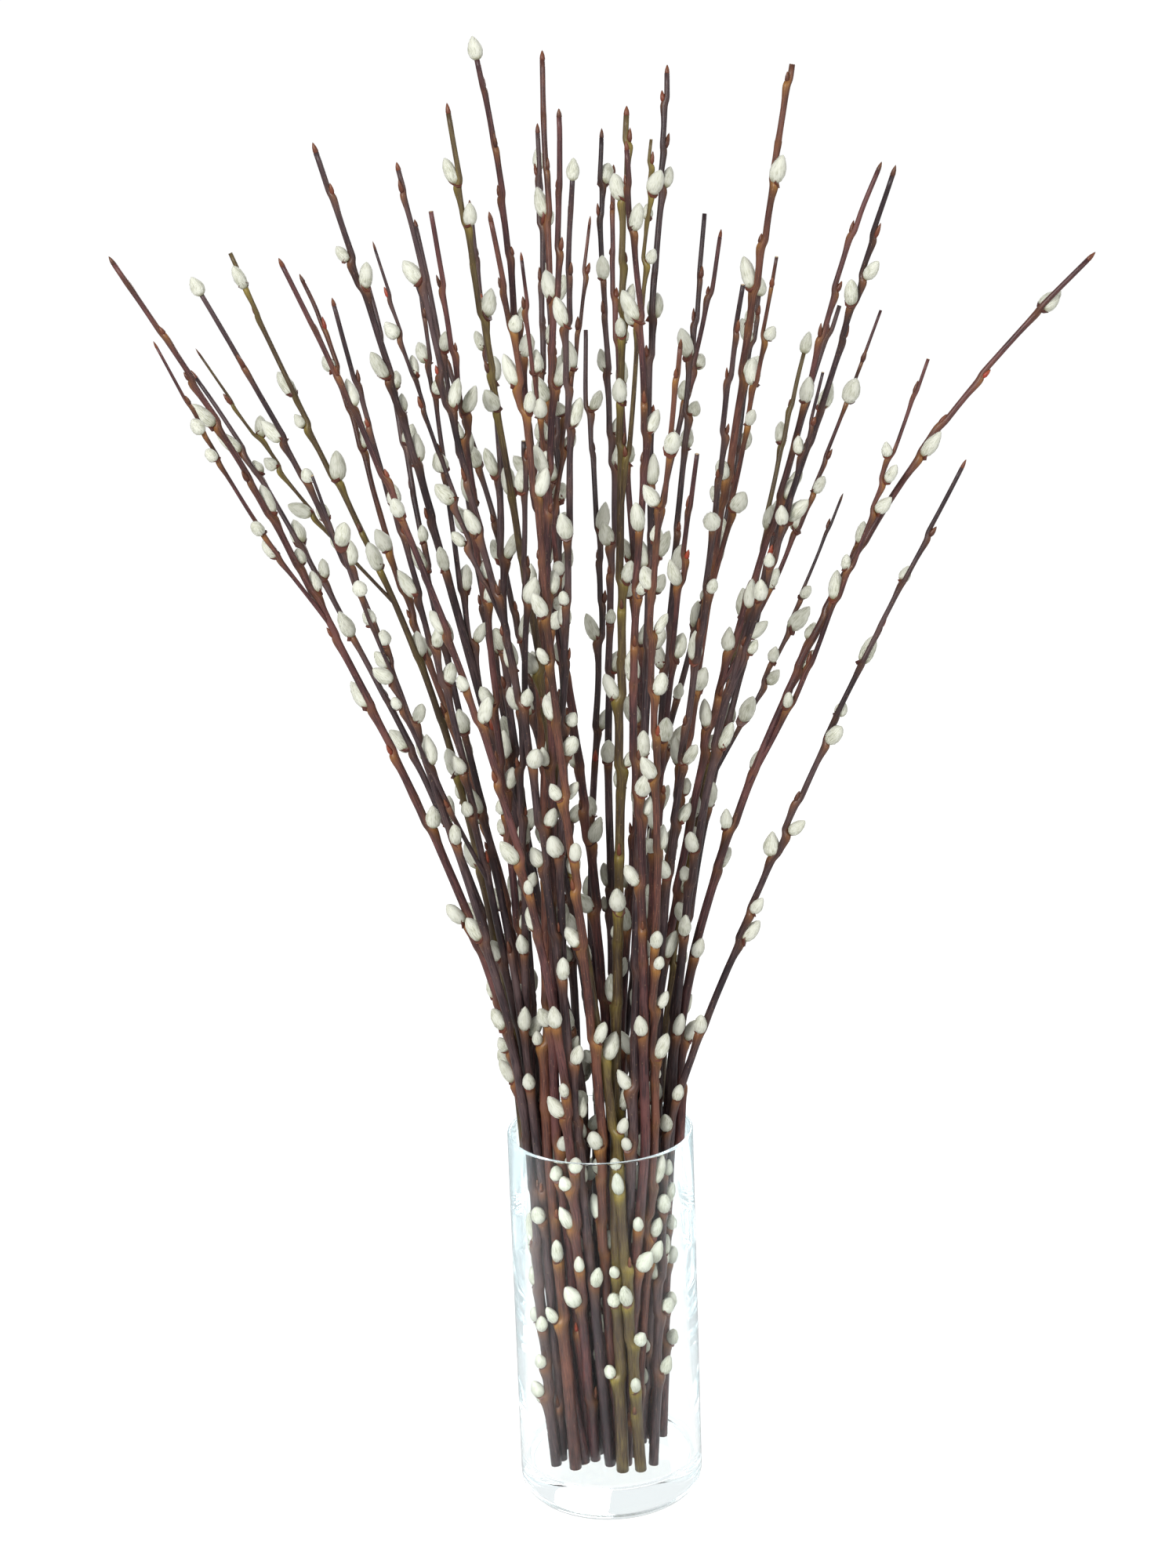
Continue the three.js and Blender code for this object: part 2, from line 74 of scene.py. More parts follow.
# ------------------------------------------------------------------------------ small helpers


def linear(hex_colour: str) -> tuple[float, float, float, float]:
    """Turns an sRGB hex colour into linear light.

    Args:
        hex_colour: The colour as six hex digits.

    Returns:
        Linear red, green and blue, with full opacity.
    """
    values = [int(hex_colour[i : i + 2], 16) / 255 for i in (0, 2, 4)]
    red, green, blue = (v / 12.92 if v <= 0.04045 else ((v + 0.055) / 1.055) ** 2.4 for v in values)
    return red, green, blue, 1.0


def add_node(
    tree: bpy.types.NodeTree,
    kind: str,
    settings: dict[str, Any] | None = None,
    inputs: dict[Any, Any] | None = None,
) -> bpy.types.Node:
    """Adds a node to a tree, with its settings and what goes into it.

    Args:
        tree: The node tree.
        kind: The node's type name.
        settings: Values of the node's own properties.
        inputs: A value or an output socket for each input, by name or number.

    Returns:
        The new node.
    """
    node = tree.nodes.new(kind)
    for name, value in (settings or {}).items():
        setattr(node, name, value)
    for name, value in (inputs or {}).items():
        if isinstance(value, bpy.types.NodeSocket):
            tree.links.new(value, node.inputs[name])
        else:
            node.inputs[name].default_value = value
    return node


def attribute(tree: bpy.types.NodeTree, name: str) -> bpy.types.NodeSocket:
    """Reads one of the mesh's own number layers."""
    return add_node(tree, "ShaderNodeAttribute", {"attribute_name": name}).outputs["Fac"]


def math_node(
    tree: bpy.types.NodeTree, operation: str, *values: Any, clamp: bool = False
) -> bpy.types.NodeSocket:
    """Adds a sum of up to three numbers or sockets and gives its result."""
    settings = {"operation": operation, "use_clamp": clamp}
    return add_node(tree, "ShaderNodeMath", settings, dict(enumerate(values))).outputs[0]


def ranged(
    tree: bpy.types.NodeTree,
    value: Any,
    source: tuple[float, float],
    target: tuple[float, float],
    kind: str = "SMOOTHSTEP",
) -> bpy.types.NodeSocket:
    """Carries a value from one range over to another.

    Args:
        tree: The node tree.
        value: The value's socket.
        source: The range it comes from.
        target: The range it goes to.
        kind: How it runs between the ends, by Blender's name.

    Returns:
        The result.
    """
    inputs = {0: value, 1: source[0], 2: source[1], 3: target[0], 4: target[1]}
    return add_node(tree, "ShaderNodeMapRange", {"interpolation_type": kind}, inputs).outputs[0]


def mix_colours(tree: bpy.types.NodeTree, share: Any, first: Any, second: Any) -> bpy.types.NodeSocket:
    """Goes from the first colour to the second by a share from 0 to 1."""
    inputs = {0: share, 6: first, 7: second}
    return add_node(tree, "ShaderNodeMix", {"data_type": "RGBA"}, inputs).outputs[2]


def ramp(tree: bpy.types.NodeTree, value: Any, stops: list[tuple[float, str]]) -> bpy.types.NodeSocket:
    """Turns a value into a colour.

    Args:
        tree: The node tree.
        value: The value's socket.
        stops: Places and hex colours, from left to right.

    Returns:
        The colour.
    """
    node = add_node(tree, "ShaderNodeValToRGB", inputs={0: value})
    elements = node.color_ramp.elements
    for place, colour in stops[1:-1]:
        elements.new(place).color = linear(colour)
    for number in (0, -1):
        elements[number].position, elements[number].color = stops[number][0], linear(stops[number][1])
    return node.outputs[0]


def flat_noise(
    tree: bpy.types.NodeTree,
    place: bpy.types.NodeSocket,
    scale: tuple[float, float],
    detail: float = 2.0,
    roughness: float = 0.5,
) -> bpy.types.NodeSocket:
    """Adds a noise that lies on the skin.

    Args:
        tree: The node tree.
        place: The place on the skin, from a UV map.
        scale: How fine it is across and along.
        detail: How many finer layers it has.
        roughness: How strong those are.

    Returns:
        Its value.
    """
    drawn = add_node(tree, "ShaderNodeMapping", inputs={"Vector": place, "Scale": (*scale, 1.0)})
    inputs = {"Vector": drawn.outputs[0], "Scale": 1.0, "Detail": detail, "Roughness": roughness}
    return add_node(tree, "ShaderNodeTexNoise", {"noise_dimensions": "2D"}, inputs).outputs[0]


def solid_noise(tree: bpy.types.NodeTree, scale: float, detail: float) -> bpy.types.NodeSocket:
    """Adds a noise that runs through the piece's own space.

    Args:
        tree: The node tree.
        scale: How fine it is, in cells for each metre.
        detail: How many finer layers it has.

    Returns:
        Its value.
    """
    space = add_node(tree, "ShaderNodeTexCoord").outputs["Object"]
    inputs = {"Vector": space, "Scale": scale, "Detail": detail}
    return add_node(tree, "ShaderNodeTexNoise", inputs=inputs).outputs[0]


def bump(tree: bpy.types.NodeTree, height: Any, strength: float, depth: float) -> bpy.types.NodeSocket:
    """Raises fine relief from a height value, and gives the surface's new normal."""
    inputs = {"Height": height, "Strength": strength, "Distance": depth}
    return add_node(tree, "ShaderNodeBump", inputs=inputs).outputs[0]


def coat_surface(tree: bpy.types.NodeTree, surface: bpy.types.NodeSocket, inputs: dict[Any, Any]) -> None:
    """Gives a material's surface one all-round shader."""
    shader = add_node(tree, "ShaderNodeBsdfPrincipled", inputs=inputs)
    tree.links.new(shader.outputs[0], surface)


def smooth(low: float, high: float, value: float) -> float:
    """A soft step from 0 at low to 1 at high."""
    share = min(1.0, max(0.0, (value - low) / (high - low)))
    return share * share * (3 - 2 * share)


def new_tree(name: str) -> tuple[bpy.types.Material, bpy.types.NodeTree, bpy.types.NodeSocket]:
    """Starts a material.

    Args:
        name: The material's name.

    Returns:
        The material, its empty node tree and the surface socket of its output.
    """
    material = bpy.data.materials.new(name)
    material.use_nodes = True
    tree = material.node_tree
    tree.nodes.clear()
    output = add_node(tree, "ShaderNodeOutputMaterial")
    return material, tree, output.inputs["Surface"]


# ------------------------------------------------------------------------------ finishes


@dataclass(frozen=True)
class BarkFinish:
    """Young willow bark: thin, waxy and smooth, so it shines in long soft streaks.

    Its colour runs in lengthwise streaks, turns ochre at the joints, where old scales left their
    scars, and carries a few pale breathing pores.
    """

    name: str
    slot: str
    lit: str
    mid: str
    dark: str
    joint: str
    roughness: float = 0.42
    streak_width: float = 0.8 * MM
    streak_length: float = 14 * MM
    patch_scale: float = 21.0  # patches of one colour are about 5 cm long
    pore: str = "9a7a5c"
    pore_spacing: float = 8 * MM
    wrinkle_depth: float = 0.16 * MM

    def build(self) -> bpy.types.Material:
        """Makes the bark material.

        Returns:
            The material.
        """
        material, tree, surface = new_tree(self.name)
        place = add_node(tree, "ShaderNodeUVMap", {"uv_map": "bark"}).outputs[0]
        streak_scale = (1 / self.streak_width, 1 / self.streak_length)
        streaks = flat_noise(tree, place, streak_scale, detail=5.0, roughness=0.68)
        patches = solid_noise(tree, self.patch_scale, detail=3.0)
        mixed = math_node(tree, "MULTIPLY_ADD", patches, 0.75, streaks, clamp=True)
        colour = ramp(tree, mixed, [(0.6, self.dark), (0.84, self.mid), (1.0, self.lit)])
        worn = math_node(tree, "MULTIPLY", attribute(tree, "joint"), mixed, clamp=True)
        scarred = mix_colours(tree, worn, colour, linear(self.joint))
        pores = add_node(
            tree,
            "ShaderNodeTexVoronoi",
            {"voronoi_dimensions": "2D", "feature": "F1"},
            {"Vector": place, "Scale": 1 / self.pore_spacing, "Randomness": 1.0},
        )
        pore = ranged(tree, pores.outputs["Distance"], (0.03, 0.08), (0.4, 0.0))
        relief = math_node(tree, "ADD", streaks, pore)
        gloss_range = (self.roughness - 0.08, self.roughness + 0.14)
        inputs = {
            "Base Color": mix_colours(tree, pore, scarred, linear(self.pore)),
            "Roughness": ranged(tree, patches, (0.3, 0.7), gloss_range, "LINEAR"),
            "IOR": 1.45,
            "Coat Weight": 0.15,
            "Coat Roughness": 0.28,
            "Normal": bump(tree, relief, 0.7, self.wrinkle_depth),
        }
        coat_surface(tree, surface, inputs)
        return material


@dataclass(frozen=True)
class CutWoodFinish:
    """Willow wood cut across with shears: pale, dry and fibrous, so the cut ends read light."""

    name: str = "cut_willow_wood"
    pale: str = "d9c39a"
    dark: str = "a98a5c"
    fibre: float = 0.5 * MM

    def build(self) -> bpy.types.Material:
        """Makes the cut wood material.

        Returns:
            The material.
        """
        material, tree, surface = new_tree(self.name)
        grain = solid_noise(tree, 1 / self.fibre, detail=3.0)
        inputs = {
            "Base Color": ramp(tree, grain, [(0.3, self.dark), (0.6, self.pale)]),
            "Roughness": 0.8,
            "Normal": bump(tree, grain, 0.6, 0.1 * MM),
        }
        coat_surface(tree, surface, inputs)
        return material


@dataclass(frozen=True)
class CatkinFinish:
    """A catkin's coat of silky hairs lying along it: silver white, with a soft bright edge.

    The hairs part a little, so greener shade is painted into the colour in fine lengthwise streaks.
    Round the base, where the coat is thin, the colour darkens to olive: partly the thin coat, partly
    painted shade where the catkin sits on its scale and the wood.
    """

    name: str = "silky_catkin_hair"
    silver: str = "e2e3d5"
    cream: str = "cacbb8"
    shade: str = "9c9e86"
    # The foot's olive is partly painted shade where the catkin sits on its scale and the wood.
    foot: str = "8a875e"

    def build(self) -> bpy.types.Material:
        """Makes the catkin material.

        Returns:
            The material.
        """
        material, tree, surface = new_tree(self.name)
        place = add_node(tree, "ShaderNodeUVMap", {"uv_map": "silk"}).outputs[0]
        # A hair is far finer than can be seen here, so a streak stands for a lock of them.
        locks = flat_noise(tree, place, (44.0, 4.0))
        clouds = flat_noise(tree, place, (4.0, 2.2))
        mixed = math_node(tree, "MULTIPLY_ADD", clouds, 0.7, locks)
        toned = math_node(tree, "MULTIPLY_ADD", attribute(tree, "tone"), 0.16, mixed)
        # The shade stop is painted shade, laid in fine lengthwise streaks by the noise.
        colour = ramp(tree, toned, [(0.45, self.shade), (0.75, self.cream), (1.0, self.silver)])
        # Painted shade at the foot, partly the thin coat: the colour darkens to olive towards the base.
        thin_coat_and_foot_shade = ranged(tree, attribute(tree, "up"), (0.02, 0.24), (0.75, 0.0))
        inputs = {
            "Base Color": mix_colours(tree, thin_coat_and_foot_shade, colour, linear(self.foot)),
            "Roughness": 0.75,
            "IOR": 1.4,
            "Subsurface Weight": 0.12,
            "Subsurface Radius": (1.0, 0.95, 0.8),
            "Subsurface Scale": 1.2 * MM,
            "Sheen Weight": 0.22,
            "Sheen Roughness": 0.35,
            "Sheen Tint": linear("ffffff"),
            "Normal": bump(tree, locks, 0.22, 0.3 * MM),
        }
        coat_surface(tree, surface, inputs)
        return material


@dataclass(frozen=True)
class DownFinish:
    """The single long hairs that stand off a catkin: they catch the light as a pale fringe."""

    name: str = "catkin_down"
    root: str = "b4b59c"
    tip: str = "e8e8dc"

    def build(self) -> bpy.types.Material:
        """Makes the down material.

        Returns:
            The material.
        """
        material, tree, surface = new_tree(self.name)
        # Darker low on the catkin and paler high up: painted shade towards the catkin's foot, as on its coat.
        stops = [(0.0, self.root), (0.7, self.tip)]
        inputs = {
            "Base Color": ramp(tree, attribute(tree, "up"), stops),
            "Roughness": 0.5,
            "Sheen Weight": 0.4,
            "Sheen Roughness": 0.4,
        }
        coat_surface(tree, surface, inputs)
        return material


@dataclass(frozen=True)
class ScaleFinish:
    """A willow bud's scale: a thin horny cap with a dull shine, chestnut to dark plum.

    A few fresh ones are bright red, and the rims dry to a paler brown.
    """

    name: str = "horny_bud_scale"
    plum: str = "331a1a"
    chestnut: str = "6a3222"
    fresh: str = "a8382a"
    rim: str = "8e5c36"
    mottle_scale: float = 420.0  # spots of about 2 mm

    def build(self) -> bpy.types.Material:
        """Makes the bud scale material.

        Returns:
            The material.
        """
        material, tree, surface = new_tree(self.name)
        stops = [(0.0, self.plum), (0.9, self.chestnut), (0.96, self.fresh)]
        colour = ramp(tree, attribute(tree, "tone"), stops)
        mottle = solid_noise(tree, self.mottle_scale, detail=2.0)
        dried = math_node(tree, "MULTIPLY", mottle, attribute(tree, "up"), clamp=True)
        inputs = {
            "Base Color": mix_colours(tree, dried, colour, linear(self.rim)),
            "Roughness": 0.42,
            "IOR": 1.5,
        }
        coat_surface(tree, surface, inputs)
        return material


@dataclass(frozen=True)
class GlassFinish:
    """Blown and polished soda-lime glass: colourless and sharp, cool grey only where it is deep."""

    name: str = "polished_soda_glass"
    tint: str = "fcfefe"
    shade: str = "ecefed"
    depth_tint: str = "d2e4e8"
    depth_strength: float = 2.6  # of the tint, for each metre of glass
    ior: float = 1.5
    square_on: float = 0.2  # share of its mirroring that it keeps when seen square on

    def build(self) -> bpy.types.Material:
        """Makes the glass material.

        Returns:
            The material.
        """
        material, tree, surface = new_tree(self.name)
        # Seen square on, the wall mirrors little of the dark studio; at a glance it mirrors fully.
        angle = add_node(tree, "ShaderNodeFresnel", inputs={"IOR": self.ior}).outputs[0]
        inputs = {
            "Base Color": linear(self.tint),
            "Roughness": 0.0,
            "IOR": self.ior,
            "Transmission Weight": 1.0,
            "Specular Tint": ranged(tree, angle, (0.05, 0.45), (self.square_on, 1.0)),
        }
        glass = add_node(tree, "ShaderNodeBsdfPrincipled", inputs=inputs)
        # Clear glass hardly shades what stands in it, so lamps shine through it.
        clear = add_node(tree, "ShaderNodeBsdfTransparent", inputs={"Color": linear(self.shade)})
        path = add_node(tree, "ShaderNodeLightPath")
        inputs = {0: path.outputs["Is Shadow Ray"], 1: glass.outputs[0], 2: clear.outputs[0]}
        shown = add_node(tree, "ShaderNodeMixShader", inputs=inputs)
        tree.links.new(shown.outputs[0], surface)
        inputs = {"Color": linear(self.depth_tint), "Density": self.depth_strength}
        depth = add_node(tree, "ShaderNodeVolumeAbsorption", inputs=inputs)
        tree.links.new(depth.outputs[0], surface.node.inputs["Volume"])
        return material


class Bark(Enum):
    """The barks of the bunch, each by the record's slot that it takes."""

    RED_BROWN = BarkFinish(
        name="red_brown_willow_bark",
        slot="red_brown_bark",
        lit="6e4340",
        mid="402629",
        dark="1e1114",
        joint="94622f",
    )
    PURPLE_BROWN = BarkFinish(
        name="purple_brown_willow_bark",
        slot="purple_brown_bark",
        lit="5a4646",
        mid="332428",
        dark="161014",
        joint="7c5030",
    )
    CHESTNUT = BarkFinish(
        name="chestnut_willow_bark",
        slot="chestnut_bark",
        lit="76493a",
        mid="4a2b28",
        dark="241412",
        joint="9a6a30",
    )
    OLIVE = BarkFinish(
        name="olive_willow_bark",
        slot="olive_bark",
        lit="6c5c36",
        mid="4a3826",
        dark="281c18",
        joint="8c7a34",
    )

    @classmethod
    def of_slot(cls, slot: str) -> "Bark":
        """The bark that goes with a slot of the record."""
        return next(bark for bark in cls if bark.value.slot == slot)


@dataclass
class Palette:
    """Every material of the arrangement, made once and shared."""

    glass: bpy.types.Material = field(init=False)
    catkin: bpy.types.Material = field(init=False)
    down: bpy.types.Material = field(init=False)
    scale: bpy.types.Material = field(init=False)
    cut: bpy.types.Material = field(init=False)
    barks: dict[Bark, bpy.types.Material] = field(init=False)

    def __post_init__(self) -> None:
        """Builds the materials."""
        self.glass = GlassFinish().build()
        self.catkin = CatkinFinish().build()
        self.down = DownFinish().build()
        self.scale = ScaleFinish().build()
        self.cut = CutWoodFinish().build()
        self.barks = {bark: bark.value.build() for bark in Bark}


def make_piece(
    name: str,
    bm: bmesh.types.BMesh,
    materials: list[bpy.types.Material],
    nodes: tuple[str, ...],
) -> bpy.types.Object:
    """Turns a bmesh into a smooth-shaded piece that rides on the root and stands for CAD nodes.

    Args:
        name: The piece's name.
        bm: The mesh, in place. It is freed.
        materials: The piece's materials, by face material index.
        nodes: The CAD nodes that it stands for.

    Returns:
        The new object.
    """
    mesh = bpy.data.meshes.new(name)
    bm.to_mesh(mesh)
    bm.free()
    for material in materials:
        mesh.materials.append(material)
    mesh.shade_smooth()
    piece = bpy.data.objects.new(name, mesh)
    bpy.context.scene.collection.objects.link(piece)
    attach(piece, "root")
    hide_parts(*nodes)
    LOG.info("%s: %d faces", name, len(mesh.polygons))
    return piece


# ------------------------------------------------------------------------------ reading the model


@dataclass(eq=False)
class Section:
    """One level section through a stem's wood."""

    centre: Vector
    spread: float  # root mean square distance of its corners from the centre
    ends: bool  # whether the wood ends here


@dataclass(eq=False)
class Course:
    """The course of a stem or of a side shoot, as a smooth line with a thickness."""

    sections: list[Section]
    grows_from: "Course | None" = None
    heights: list[float] = field(init=False)
    slopes: list[Vector] = field(init=False)
    radii: list[float] = field(init=False)

    def __post_init__(self) -> None:
        """Works out the slope and the true radius at each section."""
        centres = [section.centre for section in self.sections]
        self.heights = [centre.z for centre in centres]
        last = len(centres) - 1
        self.slopes = []
        for i in range(last + 1):
            run = centres[min(last, i + 1)] - centres[max(0, i - 1)]
            self.slopes.append(run / run.z)
        self.radii = [
            section.spread * math.sqrt(2 / (1 + slope.length_squared))
            for section, slope in zip(self.sections, self.slopes)
        ]
        if self.grows_from:
            self.radii[0] = self.radii[1]

    @property
    def foot(self) -> float:
        """The height at which the course begins."""
        return self.heights[0]

    @property
    def top(self) -> float:
        """The height of its tip."""
        return self.heights[-1]

    def _span(self, z: float) -> tuple[int, float, float]:
        """Finds the stretch of the course that a height falls in.

        Args:
            z: The height.

        Returns:
            The number of the section below, the share of the way to the next, and their distance.
        """
        i = 0
        while i < len(self.heights) - 2 and self.heights[i + 1] < z:
            i += 1
        step = self.heights[i + 1] - self.heights[i]
        return i, (z - self.heights[i]) / step, step

    def at(self, z: float) -> Vector:
        """Finds the centre line's point at a height.

        Args:
            z: The height.

        Returns:
            The point.
        """
        i, t, step = self._span(z)
        low, high = self.sections[i].centre, self.sections[i + 1].centre
        point = (
            low * (2 * t**3 - 3 * t**2 + 1)
            + self.slopes[i] * (t**3 - 2 * t**2 + t) * step
            + high * (3 * t**2 - 2 * t**3)
            + self.slopes[i + 1] * (t**3 - t**2) * step
        )
        point.z = z
        return point

    def along(self, z: float) -> Vector:
        """Finds the centre line's direction at a height.

        Args:
            z: The height.

        Returns:
            The direction, one unit long.
        """
        reach = 2 * MM
        low = max(self.foot, z - reach)
        high = min(self.top, z + reach)
        return (self.at(high) - self.at(low)).normalized()

    def radius(self, z: float) -> float:
        """The wood's radius at a height."""
        i, t, _ = self._span(z)
        return self.radii[i] + (self.radii[i + 1] - self.radii[i]) * min(1.0, max(0.0, t))


@dataclass(eq=False)
class Joint:
    """A joint of the wood, where a catkin or a bud sits."""

    z: float
    outward: Vector
    size: float  # how much the wood swells under it, from 0 to 1


@dataclass(eq=False)
class Catkin:
    """A catkin's place: its seat on the wood, its tip and its greatest radius."""

    seat: Vector
    tip: Vector
    radius: float
    course: Course

    @property
    def length(self) -> float:
        """Its length from seat to tip."""
        return (self.tip - self.seat).length

    @property
    def outward(self) -> Vector:
        """The level direction from the wood to it.

        Returns:
            The direction, one unit long.
        """
        side = self.seat - self.course.at(self.seat.z)
        side.z = 0
        if side.length < 0.1 * MM:
            side = self.tip - self.course.at(min(self.tip.z, self.course.top))
            side.z = 0
        return side.normalized()


@dataclass
class StemReader:
    """Reads the courses and the catkins of one stem out of its CAD node."""

    node: bpy.types.Object
    level_tolerance: float = 0.004 * MM
    corners: int = 5
    spindle_waist: float = 0.7  # where the last facets of a spindle begin,
    spindle_waist_share: float = 0.72  # and how thick it is there

    def read(self) -> tuple[list[Course], list[Catkin]]:
        """Reads the node.

        Returns:
            The stem's courses, its own first, and the catkins on them.
        """
        bm = bmesh.new()
        bm.from_mesh(self.node.data)
        bmesh.ops.remove_doubles(bm, verts=bm.verts[:], dist=0.001 * MM)
        courses = self._courses(self._sections(bm))
        catkins = self._catkins(bm, courses)
        bm.free()
        return courses, catkins

    def _sections(self, bm: bmesh.types.BMesh) -> list[Section]:
        """Finds the rings of corners that lie level and hang together.

        Args:
            bm: The stem's solid.

        Returns:
            The sections, from the lowest to the highest.
        """
        found: list[Section] = []
        seen: set[int] = set()
        for start in bm.verts:
            if start.index in seen:
                continue
            ring = {start}
            queue = [start]
            while queue:
                vert = queue.pop()
                for edge in vert.link_edges:
                    other = edge.other_vert(vert)
                    if other not in ring and abs(other.co.z - start.co.z) < self.level_tolerance:
                        ring.add(other)
                        queue.append(other)
            seen.update(vert.index for vert in ring)
            if self.corners <= len(ring) <= self.corners + 1:
                centre = sum((vert.co for vert in ring), Vector()) / len(ring)
                reach = [(vert.co - centre).length for vert in ring]
                squares = sum(r * r for r in reach) / self.corners
                found.append(Section(centre, math.sqrt(squares), len(ring) > self.corners))
        return sorted(found, key=lambda section: section.centre.z)

    def _courses(self, sections: list[Section]) -> list[Course]:
        """Strings the sections into the stem's own course and those of its side shoots.

        Args:
            sections: The sections, from the lowest to the highest.

        Returns:
            The courses, the stem's own first.
        """
        strings = [[sections[0]]]
        parents: list[int | None] = [None]
        levels: dict[int, list[Section]] = {}
        for section in sections[1:]:
            levels.setdefault(round(section.centre.z / (0.02 * MM)), []).append(section)
        for _, members in sorted(levels.items()):
            waiting = self._extend(strings, members)
            for section in waiting:
                parent = min(
                    range(len(strings)),
                    key=lambda n: (strings[n][-1].centre - section.centre).length,
                )
                fork = strings[parent][-2].centre
                strings.append([Section(fork, section.spread, False), section])
                parents.append(parent)
        courses: list[Course] = []
        for string, parent in zip(strings, parents):
            courses.append(Course(string, courses[parent] if parent is not None else None))
        return courses

    def _extend(self, strings: list[list[Section]], members: list[Section]) -> list[Section]:
        """Gives each string that still grows its next section from one level.

        Args:
            strings: The strings so far.
            members: The sections of the level.

        Returns:
            The sections that no string could take.
        """
        growing = [string for string in strings if len(string) == 1 or not string[-1].ends]
        pairs = []
        for string in growing:
            last = string[-1].centre
            slope = Vector()
            if len(string) > 1:
                run = last - string[-2].centre
                slope = run / run.z
            for member in members:
                expected = last + slope * (member.centre.z - last.z)
                pairs.append(((member.centre - expected).xy.length, string, member))
        pairs.sort(key=lambda pair: pair[0])
        waiting = list(members)
        for _, string, member in pairs:
            if any(string is other for other in growing) and member in waiting:
                string.append(member)
                growing = [other for other in growing if other is not string]
                waiting = [other for other in waiting if other is not member]
        return waiting

    def _catkins(self, bm: bmesh.types.BMesh, courses: list[Course]) -> list[Catkin]:
        """Finds the points of the spindles, each by its four even facets.

        Args:
            bm: The stem's solid.
            courses: The stem's courses.

        Returns:
            The catkins, from the lowest to the highest.
        """
        found: list[Catkin] = []
        for vert in bm.verts:
            if len(vert.link_edges) != 4:
                continue
            around = [edge.other_vert(vert).co for edge in vert.link_edges]
            slants = [(point - vert.co).length for point in around]
            middle = sum(around, Vector()) / 4
            reach = [(point - middle).length for point in around]
            even = 0.02 * MM
            if max(slants) - min(slants) > even or max(reach) - min(reach) > even:
                continue
            height = (vert.co - middle).length
            if not 2 * MM < height < 9 * MM or not 1 * MM < reach[0] < 6 * MM:
                continue
            if vert.co.z < middle.z:  # the foot of a spindle
                continue
            direction = (vert.co - middle).normalized()
            length = height / (1 - self.spindle_waist)
            seat = vert.co - direction * length
            radius = sum(reach) / 4 / self.spindle_waist_share
            course = min(
                (c for c in courses if c.foot <= seat.z <= c.top),
                key=lambda c: (c.at(seat.z) - seat).length,
            )
            found.append(Catkin(seat, vert.co.copy(), radius, course))
        return sorted(found, key=lambda catkin: catkin.seat.z)


# ------------------------------------------------------------------------------ wood


